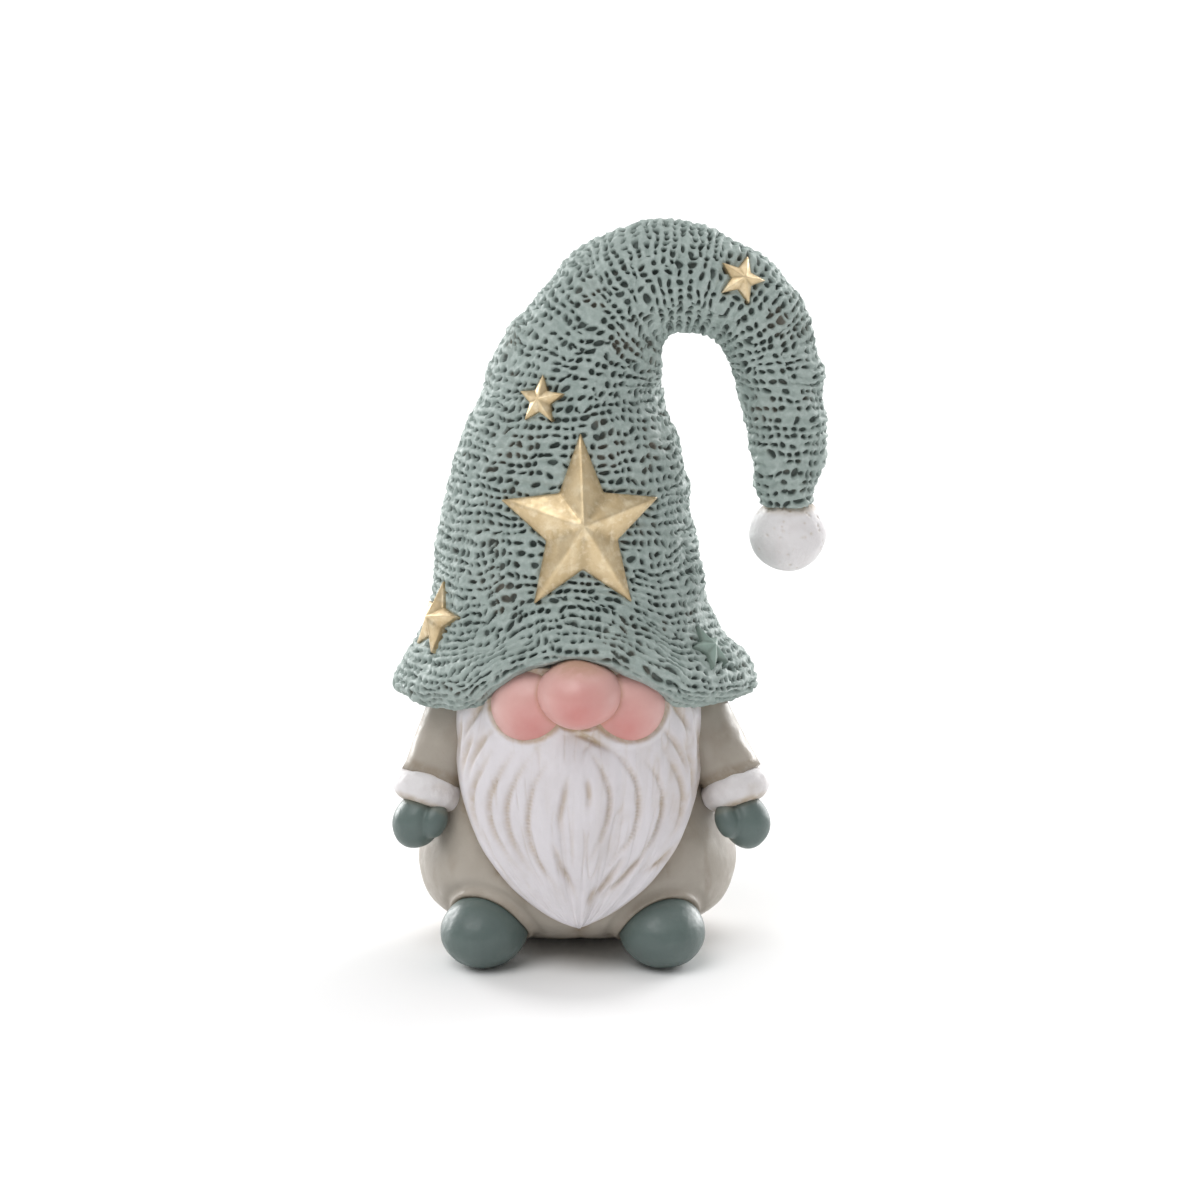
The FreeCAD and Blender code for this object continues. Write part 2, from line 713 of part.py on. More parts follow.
def make_cuff(side, sign, trims):
    """A rolled fur band round the wrist, bored for the sleeve's and the mitten's pegs."""
    wrist, down = arm_line(side, sign)
    name = f"cuff_{side}"
    body = doc.addObject("PartDesign::Body", f"{name}_body")
    band = body.newObject("PartDesign::Pad", f"{name}_band")
    band.Profile = circle_sketch(body, f"{name}_outline", "cuff_radius")
    bind(band, Length="cuff_height")
    doc.recompute()
    rims = [
        f"Edge{number}"
        for number, edge in enumerate(band.Shape.Edges, start=1)
        if isinstance(edge.Curve, Part.Circle)
    ]
    roll = body.newObject("PartDesign::Fillet", f"{name}_roll")
    roll.Base = (band, rims)
    bind(roll, Radius="min( cuff_roll ; 0.48 * cuff_height )")
    bore = body.newObject("PartDesign::Pocket", f"{name}_bore")
    bore.Profile = circle_sketch(body, f"{name}_bore_outline", "arm_peg_radius + glue_gap")
    bore.Type = "ThroughAll"
    bore.Reversed = True
    body.Placement = Placement(wrist, Rotation(Vector(0, 0, 1), down))
    return cut(name, body, *trims)


def make_mitten(side, sign, trims):
    """A palm and a thumb in one casting, flat against the cuff, with a peg up into it."""
    wrist, down = arm_line(side, sign)
    heel = wrist + down * size("cuff_height")
    turn = Rotation(Vector(0, 0, 1), down)
    girth, thumb_girth = "palm_half_width", "thumb_half_width"
    palm = ellipsoid(f"palm_{side}", girth, girth, "palm_half_length", turn)
    middle = heel + down * size("palm_drop")
    move_to(palm, middle)
    thumb = ellipsoid(f"thumb_{side}", thumb_girth, thumb_girth, "thumb_half_length", turn)
    inward = Vector(-sign * math.cos(math.radians(40)), -math.sin(math.radians(40)), 0)
    move_to(thumb, middle + inward * size("thumb_out") - down)
    hand = fuse(f"mitten_{side}_hand", palm, thumb)
    above = peg(f"mitten_{side}_above", "2 * cuff_radius", "3 * cuff_height", heel, -down)
    trimmed = cut(f"mitten_{side}_trimmed", hand, above, *trims)
    length = "cuff_height / 2 + palm_drop - glue_gap"
    pin = peg(f"mitten_{side}_peg", "arm_peg_radius", length, middle, -down)
    return fuse(f"mitten_{side}", trimmed, pin)


# ---------- boots ----------


def make_boot(side, sign, coat_pear, floor):
    """A round-toed boot with a flat sole, pegged back into the coat."""
    splay = Rotation(Vector(0, 0, 1), sign * size("boot_splay"))
    shape = ("boot_half_width", "boot_half_length", "boot_half_height")
    blank = ellipsoid(f"boot_{side}_blank", *shape, splay)
    move_to(blank, Vector(sign * size(f"boot_{side}_x"), size("boot_y"), size("boot_sole_drop")))
    return cut(f"boot_{side}", blank, coat_pear, floor)


# ---------- assembly ----------


def build():
    """Makes every casting and returns them in the order they are put together."""
    floor = doc.addObject("Part::Box", "floor")
    floor.Length = floor.Width = floor.Height = EACH_WAY
    floor.Placement = Placement(Vector(-EACH_WAY / 2, -EACH_WAY / 2, -EACH_WAY), Rotation())
    coat_pear, coat = make_coat()
    head_blank, head = make_head()
    nose_blank, nose = make_nose(head_blank)
    made = [coat, make_base_disc(), head, nose]
    cheek_blanks = []
    for side, sign in SIDES:
        blank, cheek = make_cheek(side, sign, coat_pear, head_blank, nose_blank)
        cheek_blanks.append(blank)
        made.append(cheek)
    hat_blank = make_hat_blank()
    doc.recompute()
    made += [make_hat(hat_blank, coat_pear, head_blank, nose_blank, cheek_blanks)]
    made += [make_pompom(hat_blank)]
    made += make_stars(hat_blank)
    beard = make_beard([coat_pear, head_blank, hat_blank, nose_blank, *cheek_blanks, make_bare_face()])
    made.append(beard)
    inner = [coat_pear, under_brim(), beard]
    for side, sign in SIDES:
        made += [make_sleeve(side, sign, inner), make_cuff(side, sign, inner)]
        made += [make_mitten(side, sign, inner), make_boot(side, sign, coat_pear, floor)]
    doc.recompute()
    return made


def check(pieces):
    """Stops with a message if anything in the document failed or a casting is not a sound solid."""
    failed = [o.Label for o in doc.Objects if {"Invalid", "Error"} & set(o.State)]
    if failed:
        raise RuntimeError(f"failed features: {failed}")
    for piece in pieces:
        shape = piece.Shape
        if shape.isNull() or not shape.isValid() or not shape.Solids:
            raise RuntimeError(f"{piece.Label} is not a valid solid")


def write(pieces):
    os.makedirs("parts", exist_ok=True)
    for piece in pieces:
        shape = piece.Shape
        shape.exportStep(os.path.join("parts", f"{piece.Label}.step"))
        print(f"{piece.Label:14s} {len(shape.Solids)} solid(s) {shape.Volume / 1000:8.2f} cm3")


fill_sheet()
pieces = build()
check(pieces)
write(pieces)
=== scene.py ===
"""Garden gnome ornament in painted cast resin: the visible pieces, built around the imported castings.

Sizes are in millimetres and turned to metres when a mesh is written. The gnome faces -Y and stands on Z = 0,
and its own left hand is on +X. An angle round the gnome is 0 at the front and grows towards +X.
"""

import logging
import math
from dataclasses import dataclass
from enum import Enum
from functools import reduce
from typing import Any, Callable, Dict, List, Optional, Sequence, Tuple, Union

import bpy
import numpy as np
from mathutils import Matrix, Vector
from mathutils.bvhtree import BVHTree


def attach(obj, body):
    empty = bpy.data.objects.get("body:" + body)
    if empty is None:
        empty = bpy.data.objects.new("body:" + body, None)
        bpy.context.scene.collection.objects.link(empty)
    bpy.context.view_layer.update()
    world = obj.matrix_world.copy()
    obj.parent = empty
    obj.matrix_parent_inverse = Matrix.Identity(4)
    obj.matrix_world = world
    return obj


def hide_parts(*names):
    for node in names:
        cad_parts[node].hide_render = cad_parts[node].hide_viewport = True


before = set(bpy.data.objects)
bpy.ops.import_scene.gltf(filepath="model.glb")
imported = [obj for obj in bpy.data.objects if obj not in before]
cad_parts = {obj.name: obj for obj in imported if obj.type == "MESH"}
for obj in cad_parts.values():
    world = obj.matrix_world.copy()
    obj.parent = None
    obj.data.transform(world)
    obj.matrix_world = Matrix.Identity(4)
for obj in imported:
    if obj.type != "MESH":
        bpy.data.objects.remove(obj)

MM = 0.001
FULL_TURN = 2 * math.pi
# points nearer than this, in mm, become one when a mesh is closed
MERGE_GAP = 0.002

log = logging.getLogger("gnome")
Triple = Tuple[float, float, float]


class Side(Enum):
    """The gnome's own left and right, with the sign of X on that side."""

    LEFT = 1
    RIGHT = -1

    @property
    def word(self) -> str:
        """The side's name as it stands in a piece's name."""
        return self.name.lower()


class Slot(Enum):
    """The record's material slots; each star keeps one, which nothing here reads."""

    HAT = "hat_paint"
    GOLD = "gold_paint"
    SKIN = "skin_paint"
    BEARD = "beard_paint"
    COAT = "coat_paint"
    FUR = "fur_paint"
    GREEN = "green_paint"


class Mark(Enum):
    """Values kept on a mesh's points for its paint to read, each from 0 to 1."""

    HOLLOW = "hollow"
    # brown wash together with painted shade, laid in hollows, creases, joins and under overhangs
    WASH = "wash"
    BLUSH = "blush"


# ---------- numbers and curves ----------


def ease(values: np.ndarray, low: float, high: float) -> np.ndarray:
    """A smooth step.

    Args:
        values: what is stepped.
        low: where the step starts, at 0.
        high: where it ends, at 1.

    Returns:
        Values from 0 to 1.
    """
    share = np.clip((values - low) / (high - low), 0.0, 1.0)
    return share * share * (3.0 - 2.0 * share)


def smooth_curve(knots: np.ndarray, values: np.ndarray, at: np.ndarray) -> np.ndarray:
    """A smooth curve through values at uneven knots.

    Args:
        knots: rising places of the values.
        values: one value, or one row of them, at each knot.
        at: the places wanted.

    Returns:
        The curve's value, or row, at each place.
    """
    steps = np.diff(knots)
    flat = values.reshape(len(knots), -1)
    slopes = np.diff(flat, axis=0) / steps[:, None]
    tangents = np.empty_like(flat)
    tangents[0] = slopes[0]
    tangents[-1] = slopes[-1]
    before = steps[:-1, None]
    after = steps[1:, None]
    tangents[1:-1] = (slopes[:-1] * after + slopes[1:] * before) / (before + after)
    left = np.clip(np.searchsorted(knots, at, side="right") - 1, 0, len(steps) - 1)
    width = steps[left][:, None]
    t = ((at - knots[left]) / steps[left])[:, None]
    square = t * t
    cube = square * t
    curve = (
        (2 * cube - 3 * square + 1) * flat[left]
        + (cube - 2 * square + t) * width * tangents[left]
        + (3 * square - 2 * cube) * flat[left + 1]
        + (cube - square) * width * tangents[left + 1]
    )
    return curve.reshape((len(at),) + values.shape[1:])


@dataclass(frozen=True)
class Lumps:
    """Smooth seeded unevenness in space, such as a modeller's hand leaves."""

    seed: int
    lattice_side: int = 32

    def at(self, points: np.ndarray, spacing: float) -> np.ndarray:
        """The unevenness at some points.

        Args:
            points: places in mm, their last axis X, Y and Z.
            spacing: how far apart the lumps are, in mm.

        Returns:
            A value from -1 to 1 for each point.
        """
        side = self.lattice_side
        lattice = np.random.default_rng(self.seed).uniform(-1.0, 1.0, (side, side, side))
        scaled = points / spacing + self.seed * 0.37
        cell = np.floor(scaled).astype(int)
        part = scaled - cell
        part = part * part * (3.0 - 2.0 * part)
        total = np.zeros(points.shape[:-1])
        for corner in np.ndindex(2, 2, 2):
            index = (cell + np.array(corner)) % side
            weight = np.prod(np.where(np.array(corner) == 1, part, 1.0 - part), axis=-1)
            total += weight * lattice[index[..., 0], index[..., 1], index[..., 2]]
        return total


@dataclass(frozen=True)
class Egg:
    """A ball stretched to three half sizes and turned about its upright axis."""

    middle: Triple
    half: Triple
    turn: float = 0.0

    def distance(self, points: np.ndarray) -> np.ndarray:
        """How far points lie outside its skin, less than 0 inside, in mm."""
        angle = math.radians(self.turn)
        offset = points - np.array(self.middle)
        x = offset[..., 0] * math.cos(angle) + offset[..., 1] * math.sin(angle)
        y = offset[..., 1] * math.cos(angle) - offset[..., 0] * math.sin(angle)
        local = np.stack([x, y, offset[..., 2]], axis=-1)
        half = np.array(self.half)
        share = np.linalg.norm(local / half, axis=-1)
        steepness = np.linalg.norm(local / half**2, axis=-1)
        return share * (share - 1.0) / np.maximum(steepness, 1e-9)


def outward(points: np.ndarray, wraps: bool) -> np.ndarray:
    """The unit normals of a grid of points.

    Args:
        points: rows by columns by 3.
        wraps: whether the last column stands on the first.

    Returns:
        Normals in the same layout, on the side that the columns' direction crossed with the rows' gives.
    """
    if wraps:
        padded = np.concatenate([points[:, -2:-1], points, points[:, 1:2]], axis=1)
        across = (padded[:, 2:] - padded[:, :-2]) / 2
    else:
        across = np.gradient(points, axis=1)
    along = np.gradient(points, axis=0)
    normals = np.cross(across, along)
    normals /= np.maximum(np.linalg.norm(normals, axis=-1, keepdims=True), 1e-12)
    return normals


# ---------- meshes ----------


def select_only(piece: bpy.types.Object) -> None:
    """Makes one object the selected and active one."""
    bpy.ops.object.select_all(action="DESELECT")
    piece.select_set(True)
    bpy.context.view_layer.objects.active = piece


def add_form(name: str, operator: Callable[..., Any], **settings: Any) -> bpy.types.Object:
    """Adds one of Blender's own mesh forms under a name, as the only object selected."""
    bpy.ops.object.select_all(action="DESELECT")
    operator(**settings)
    piece = bpy.context.object
    piece.name = name
    piece.data.name = name
    return piece


def spots(piece: bpy.types.Object) -> np.ndarray:
    """The places of a mesh's points, in mm."""
    flat = np.empty(len(piece.data.vertices) * 3)
    piece.data.vertices.foreach_get("co", flat)
    return flat.reshape(-1, 3) / MM


def put(piece: bpy.types.Object, points: np.ndarray) -> None:
    """Moves a mesh's points to new places, given in mm."""
    piece.data.vertices.foreach_set("co", (points * MM).ravel())
    piece.data.update()


def surface_normals(piece: bpy.types.Object) -> np.ndarray:
    """The unit normal at each point of a mesh."""
    flat = np.empty(len(piece.data.vertices) * 3)
    piece.data.vertex_normals.foreach_get("vector", flat)
    return flat.reshape(-1, 3)


def set_mark(piece: bpy.types.Object, mark: Mark, values: np.ndarray) -> None:
    """Keeps a value from 0 to 1 on each of a mesh's points."""
    attribute = piece.data.attributes.new(mark.value, "FLOAT", "POINT")
    attribute.data.foreach_set("value", np.clip(values, 0.0, 1.0).ravel())


def apply_modifier(piece: bpy.types.Object, kind: str, **settings: Any) -> None:
    """Adds a modifier with its settings and applies it."""
    select_only(piece)
    modifier = piece.modifiers.new(kind.title(), kind)
    for name, value in settings.items():
        setattr(modifier, name, value)
    bpy.ops.object.modifier_apply(modifier=modifier.name)


def set_down(piece: bpy.types.Object) -> None:
    """Puts an object's place, turn and size into its mesh."""
    select_only(piece)
    bpy.ops.object.transform_apply(location=True, rotation=True, scale=True)


def close_up(piece: bpy.types.Object) -> None:
    """Merges what stands on the same spot, fills the ends and turns every face outwards."""
    select_only(piece)
    bpy.ops.object.mode_set(mode="EDIT")
    bpy.ops.mesh.select_all(action="SELECT")
    bpy.ops.mesh.remove_doubles(threshold=MERGE_GAP * MM)
    bpy.ops.mesh.fill_holes(sides=0)
    bpy.ops.mesh.select_all(action="SELECT")
    bpy.ops.mesh.normals_make_consistent(inside=False)
    bpy.ops.mesh.select_all(action="DESELECT")
    bpy.ops.object.mode_set(mode="OBJECT")
    bpy.ops.object.shade_smooth()


def wrap_sheet(name: str, points: np.ndarray, marks: Dict[Mark, np.ndarray]) -> bpy.types.Object:
    """Wraps a flat grid round a form and closes it.

    Args:
        name: the piece's name.
        points: rows by columns by 3, in mm.
        marks: values for the paint, rows by columns.

    Returns:
        The closed piece.
    """
    rows, columns = points.shape[0] - 1, points.shape[1] - 1
    grid = {"x_subdivisions": columns, "y_subdivisions": rows, "size": 1.0}
    piece = add_form(name, bpy.ops.mesh.primitive_grid_add, **grid)
    flat = spots(piece) * MM
    column = np.rint((flat[:, 0] + 0.5) * columns).astype(int)
    row = np.rint((flat[:, 1] + 0.5) * rows).astype(int)
    put(piece, points[row, column])
    for mark, values in marks.items():
        set_mark(piece, mark, values[row, column])
    close_up(piece)
    return piece


def skin_of(node: str) -> BVHTree:
    """A CAD node's faces, ready to be probed for their nearest spots."""
    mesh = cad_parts[node].data
    corners = [v.co.copy() for v in mesh.vertices]
    faces = [tuple(p.vertices) for p in mesh.polygons]
    return BVHTree.FromPolygons(corners, faces)


# ---------- paints ----------


def from_hex(code: str) -> Tuple[float, float, float, float]:
    """Turns an sRGB hex colour to linear.

    Args:
        code: six hex digits after a hash.

    Returns:
        Red, green, blue and an alpha of 1.
    """
    parts = [int(code[n : n + 2], 16) / 255 for n in (1, 3, 5)]
    linear = [p / 12.92 if p <= 0.04045 else ((p + 0.055) / 1.055) ** 2.4 for p in parts]
    return (linear[0], linear[1], linear[2], 1.0)


def per_metre(spacing: float) -> float:
    """A noise scale whose blots are some mm apart."""
    return 1.0 / (spacing * MM)


def add_node(
    tree: bpy.types.NodeTree,
    kind: str,
    settings: Optional[Dict[str, Any]] = None,
    inputs: Optional[Dict[Any, Any]] = None,
) -> bpy.types.Node:
    """Adds a shader node.

    Args:
        tree: the node tree it goes into.
        kind: the node's type.
        settings: properties of the node.
        inputs: a number, colour or output socket for each input, by name or number.

    Returns:
        The new node.
    """
    node = tree.nodes.new(kind)
    for name, value in (settings or {}).items():
        setattr(node, name, value)
    for name, value in (inputs or {}).items():
        if isinstance(value, bpy.types.NodeSocket):
            tree.links.new(value, node.inputs[name])
        else:
            node.inputs[name].default_value = value
    return node


@dataclass(frozen=True)
class Mask:
    """A value over a piece: cloudy blots some mm apart, or a mark kept on its points.

    `span` stretches it smoothly: the two values it is taken between, then the two that they become.
    """

    source: Union[Mark, float]
    span: Optional[Tuple[float, float, float, float]] = None
    detail: float = 4.0

    def value(self, tree: bpy.types.NodeTree) -> bpy.types.NodeSocket:
        """The mask's output in a node tree. Blots lie in the object's own coordinates."""
        if isinstance(self.source, Mark):
            raw = add_node(tree, "ShaderNodeAttribute", {"attribute_name": self.source.value}).outputs["Fac"]
        else:
            place = add_node(tree, "ShaderNodeTexCoord").outputs["Object"]
            inputs = {"Vector": place, "Scale": per_metre(self.source)}
            inputs.update({"Detail": self.detail, "Roughness": 0.6})
            raw = add_node(tree, "ShaderNodeTexNoise", inputs=inputs).outputs["Fac"]
        if self.span is None:
            return raw
        inputs = {"Value": raw, **dict(zip(("From Min", "From Max", "To Min", "To Max"), self.span))}
        smooth = {"interpolation_type": "SMOOTHSTEP"}
        return add_node(tree, "ShaderNodeMapRange", smooth, inputs).outputs["Result"]


@dataclass(frozen=True)
class Layer:
    """A colour laid over the ones before it, as strongly as its masks and its share multiply to."""

    colour: str
    masks: Tuple[Mask, ...]
    share: float = 1.0


@dataclass(frozen=True)
class Paint:
    """A coat of paint on cast resin, with a thin brown wash left in its hollows and painted shade laid in the
    wash's colour in hollows and joins.

    Colours are sRGB hex and spacings are in mm. `mottle` is the colour where the paint is rubbed thin or
    blotted.
    """

    name: str
    colour: str
    mottle: str
    wash: str
    mottle_spacing: float = 9.0
    mottle_share: float = 0.5
    wash_and_shade_share: float = 0.9
    roughness: float = 0.5
    roughness_swing: float = 0.12
    grain_spacing: float = 0.7
    grain_height: float = 0.05
    ripple_spacing: float = 4.0
    ripple_height: float = 0.12
    coat: float = 0.0
    coat_roughness: float = 0.18
    ior: float = 1.46

    def layers(self) -> List[Layer]:
        """The colours over the first: its rubbed blots, the wash with painted shade in the hollows and joins,
        and specks of wash.
        """
        return [
            Layer(self.mottle, (Mask(self.mottle_spacing, (0.42, 0.66, 0.0, self.mottle_share)),)),
            # brown wash and painted shade, as strong as the mark on the points
            Layer(self.wash, (Mask(Mark.WASH), Mask(2.2, (0.25, 0.6, 0.45, 1.0))), self.wash_and_shade_share),
            Layer(self.wash, (Mask(self.grain_spacing, (0.62, 0.78, 0.0, 0.12), 2.0),)),
        ]

    def tint(self, tree: bpy.types.NodeTree) -> Any:
        """The paint's colour over the piece."""

        def times(first: Any, second: Any) -> bpy.types.NodeSocket:
            """One factor times another."""
            inputs = {0: first, 1: second}
            return add_node(tree, "ShaderNodeMath", {"operation": "MULTIPLY"}, inputs).outputs[0]

        colour: Any = from_hex(self.colour)
        for layer in self.layers():
            factors: List[Any] = [mask.value(tree) for mask in layer.masks]
            if layer.share != 1.0:
                factors.append(layer.share)
            inputs = {"Factor": reduce(times, factors), 6: colour, 7: from_hex(layer.colour)}
            colour = add_node(tree, "ShaderNodeMix", {"data_type": "RGBA"}, inputs).outputs[2]
        return colour

    def relief(self, tree: bpy.types.NodeTree) -> bpy.types.NodeSocket:
        """Slow ripples of the casting under the fine tooth of the brushed paint."""
        below: Dict[str, Any] = {}
        for mask, height in (
            (Mask(self.ripple_spacing, detail=2.0), self.ripple_height),
            (Mask(self.grain_spacing, detail=3.0), self.grain_height),
        ):
            inputs = {"Height": mask.value(tree), "Distance": height * MM, **below}
            below = {"Normal": add_node(tree, "ShaderNodeBump", inputs=inputs).outputs["Normal"]}
        return below["Normal"]

    def shader_inputs(self, tree: bpy.types.NodeTree) -> Dict[str, Any]:
        """What the surface shader is given."""
        low, high = self.roughness - self.roughness_swing, self.roughness + self.roughness_swing
        return {
            "Base Color": self.tint(tree),
            "Roughness": Mask(3.0, (0.3, 0.7, low, high)).value(tree),
            "Normal": self.relief(tree),
            "IOR": self.ior,
            "Coat Weight": self.coat,
            "Coat Roughness": self.coat_roughness,
        }

    def material(self) -> bpy.types.Material:
        """The paint as a material, made once."""
        made = bpy.data.materials.get(self.name)
        if made is None:
            made = bpy.data.materials.new(self.name)
            made.use_nodes = True
            tree = made.node_tree
            tree.nodes.clear()
            shader = add_node(tree, "ShaderNodeBsdfPrincipled", inputs=self.shader_inputs(tree))
            add_node(tree, "ShaderNodeOutputMaterial", inputs={"Surface": shader.outputs["BSDF"]})
        return made


@dataclass(frozen=True)
class KnitPaint(Paint):
    """Matt acrylic over a cast knit: painted shade dark in the holes, brown in patches, and a painted highlight
    brushed lighter on the ropes.
    """

    # painted shade in the knit's holes
    hole: str = "#515B57"
    # painted highlight on the tops of the ropes
    rope_highlight: str = "#B7C2BE"
    patch: str = "#7A6F62"

    def layers(self) -> List[Layer]:
        """Sage paint with a painted highlight on the highest ropes, painted shade in the holes, and brown in
        patches.
        """
        return super().layers()[:1] + [
            Layer(self.rope_highlight, (Mask(Mark.HOLLOW, (0.22, 0.0, 0.0, 1.0)), Mask(1.4, (0.4, 0.7, 0.0, 0.55)))),
            Layer(self.hole, (Mask(Mark.HOLLOW, (0.3, 0.85, 0.0, 0.92)),)),
            Layer(self.patch, (Mask(13.0, (0.5, 0.68, 0.0, 0.8)), Mask(Mark.HOLLOW, (0.12, 0.6, 0.06, 0.8)))),
        ]


@dataclass(frozen=True)
class SkinPaint(Paint):
    """Satin pink enamel with a blush brushed on the middle of each form."""

    blush: str = "#C87C77"

    def layers(self) -> List[Layer]:
        """Pink that deepens where the blush mark is strong."""
        return super().layers() + [Layer(self.blush, (Mask(Mark.BLUSH), Mask(5.0, (0.2, 0.8, 0.75, 1.0))))]


@dataclass(frozen=True)
class GoldPaint(Paint):
    """Metallic gold acrylic, brushed on: fine streaks, leafy bright patches, and bronze wash with painted shade
    in the low places.
    """

    bright: str = "#F7EBCF"
    shine: float = 0.6

    def layers(self) -> List[Layer]:
        """Gold with brighter leafy patches and streaks, and bronze wash with painted shade."""
        return super().layers() + [Layer(self.bright, (Mask(2.6, (0.45, 0.75, 0.0, 0.5), 3.0),))]

    def shader_inputs(self, tree: bpy.types.NodeTree) -> Dict[str, Any]:
        """As other paints, with a metal's shine."""
        inputs = super().shader_inputs(tree)
        inputs["Metallic"] = self.shine
        del inputs["IOR"]
        return inputs


# Matt acrylic on a cast knit. It gives the eye a chalky sage with painted shade in the holes and a painted
# highlight on the ropes.
KNIT_ACRYLIC = KnitPaint(
    "matt_acrylic_sage_knit", "#9DAAA5", "#8C9B96", "#6E6455", roughness=0.6, grain_spacing=0.5,
    grain_height=0.13, ripple_height=0.0
)
# The same acrylic on the plain star, brushed thinner, so that it stays even.
SAGE_ACRYLIC = Paint("matt_acrylic_sage_star", "#8DA097", "#7B8F86", "#565F58", roughness=0.5)
# Metallic acrylic laid on with a brush. It gives a warm satin shine with streaks.
GOLD_ACRYLIC = GoldPaint(
    "metallic_acrylic_gold", "#DEC9A2", "#C8AE82", "#87704A", mottle_spacing=4.5, mottle_share=0.5,
    roughness=0.42, ripple_spacing=2.4, ripple_height=0.10, grain_spacing=0.45, grain_height=0.03,
)
# Satin enamel over smooth resin. It gives soft wide highlights on pink skin.
SKIN_ENAMEL = SkinPaint(
    "satin_enamel_pink", "#D9ABA5", "#E0B8B1", "#B08F6A", roughness=0.40, coat=0.12, grain_height=0.015,
    ripple_spacing=6.0, ripple_height=0.2,
)
# Matt white acrylic with a tan wash wiped off it, which stays in the grooves of the hair; the same tan also
# lays painted shade.
BEARD_ACRYLIC = Paint(
    "matt_acrylic_white_washed", "#DCD8DC", "#D0CBCD", "#B7A283", mottle_spacing=12.0, roughness=0.52,
    grain_height=0.04,
)
# Satin acrylic in a warm grey, mottled where the brown wash was wiped; the wash colour also lays painted shade.
COAT_ACRYLIC = Paint(
    "satin_acrylic_greige", "#A69E93", "#B0A89D", "#7C6B54", mottle_spacing=14.0, mottle_share=0.7,
    roughness=0.42, ripple_spacing=7.0, ripple_height=0.35, coat=0.08,
)
# Matt acrylic over a lightly stippled casting, for the fur bands and the bobble.
FUR_ACRYLIC = Paint(
    "matt_acrylic_white_stippled", "#DFDCDD", "#D0CBCB", "#B8A488", mottle_spacing=6.0, roughness=0.55,
    grain_spacing=0.9, grain_height=0.12, ripple_spacing=2.6, ripple_height=0.25,
)
# Satin acrylic in a dark grey green, with soft highlights like oiled leather.
GREEN_ACRYLIC = Paint(
    "satin_acrylic_dark_green", "#5C6A67", "#64736F", "#8B8575", mottle_spacing=8.0, roughness=0.42,
    ripple_spacing=5.0, ripple_height=0.25, coat=0.08, wash_and_shade_share=0.5,
)
# Unpainted polyester resin as it leaves its rubber mould: off-white, dull, with pinholes.
BARE_RESIN = Paint(
    "cast_polyester_resin", "#D8D2C6", "#C9C2B4", "#A69C8A", mottle_spacing=15.0, roughness=0.62,
    grain_spacing=1.2, grain_height=0.15, ripple_spacing=8.0, ripple_height=0.3,
)


def dress(piece: bpy.types.Object, paint: Paint, node: str) -> None:
    """Paints a piece, has it stand for its CAD node and ride on the gnome.

    Args:
        piece: the finished piece.
        paint: its paint.
        node: the CAD node it replaces.
    """
    piece.data.materials.clear()
    piece.data.materials.append(paint.material())
    for mark in Mark:
        if mark.value not in piece.data.attributes:
            set_mark(piece, mark, np.zeros(len(piece.data.vertices)))
    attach(piece, "root")
    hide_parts(node)
    log.info("%s: %d faces, for %s", piece.name, len(piece.data.polygons), node)


# ---------- shapes shared by several pieces ----------

NOSE = Egg((0.7, -34.0, 70.1), (10.2, 11.5, 8.4))
CHEEKS = {
    Side.LEFT: Egg((10.9, -27.5, 66.0), (10.5, 10.0, 10.2)),
    Side.RIGHT: Egg((-9.9, -27.5, 66.0), (10.5, 10.0, 10.2)),
}
BOOTS = {
    Side.LEFT: Egg((20.9, -25.5, 8.4), (10.4, 12.0, 8.9), 14.0),
    Side.RIGHT: Egg((-22.6, -25.5, 8.4), (10.4, 12.0, 8.9), -14.0),
}


@dataclass
class BeardOutline:
    """The beard's pointed outline as seen from the front."""

    middle: float = 0.6
    half_width: float = 30.9
    wide_z: float = 55.0
    tip_z: float = 11.4
    top_z: float = 76.0

    def reach(self, z: np.ndarray) -> np.ndarray:
        """How far the outline lies from its middle line at some heights, in mm."""
        drop = self.wide_z - self.tip_z
        radius = (self.half_width**2 + drop**2) / (2 * self.half_width)
        inside = np.maximum(radius**2 - (z - self.wide_z) ** 2, 0.0)
        return np.maximum(np.sqrt(inside) - (radius - self.half_width), 0.0)


@dataclass
class CoatForm:
    """The pear that the coat is cast to: height, half width, half depth and the ring's middle in Y."""

    rings: Tuple[Tuple[float, float, float, float], ...] = (
        (0.0, 25.0, 14.0, 9.0),
        (6.8, 33.0, 26.5, 1.08),
        (11.2, 37.2, 31.0, 0.0),
        (18.0, 39.6, 33.5, 0.0),
        (32.0, 36.8, 31.5, 0.0),
        (47.0, 32.2, 28.5, 0.0),
        (66.0, 26.5, 24.5, 0.0),
    )

    def at(self, z: np.ndarray) -> np.ndarray:
        """Half width, half depth and middle in Y at some heights."""
        table = np.array(self.rings)
        steps = np.linalg.norm(np.diff(table[:, :2], axis=0), axis=1)
        along = np.concatenate([[0.0], np.cumsum(steps)])
        fine = np.linspace(0.0, along[-1], 600)
        curve = smooth_curve(along, table, fine)
        return np.stack([np.interp(z, curve[:, 0], curve[:, n]) for n in (1, 2, 3)], axis=-1)


OUTLINE = BeardOutline()
COAT_FORM = CoatForm()


def ball(name: str, egg: Egg, segments: int = 96, rings: int = 64) -> bpy.types.Object:
    """A smooth egg, ready to be shaped.

    Args:
        name: the piece's name.
        egg: its place, half sizes and turn.
        segments: faces round it.
        rings: faces from pole to pole.

    Returns:
        The piece, at rest in its mesh.
    """
    piece = add_form(
        name,
        bpy.ops.mesh.primitive_uv_sphere_add,
        segments=segments,
        ring_count=rings,
        radius=MM,
        location=Vector(egg.middle) * MM,
        rotation=(0.0, 0.0, math.radians(egg.turn)),
    )
    piece.scale = egg.half
    set_down(piece)
    bpy.ops.object.shade_smooth()
    return piece


# ---------- hat ----------


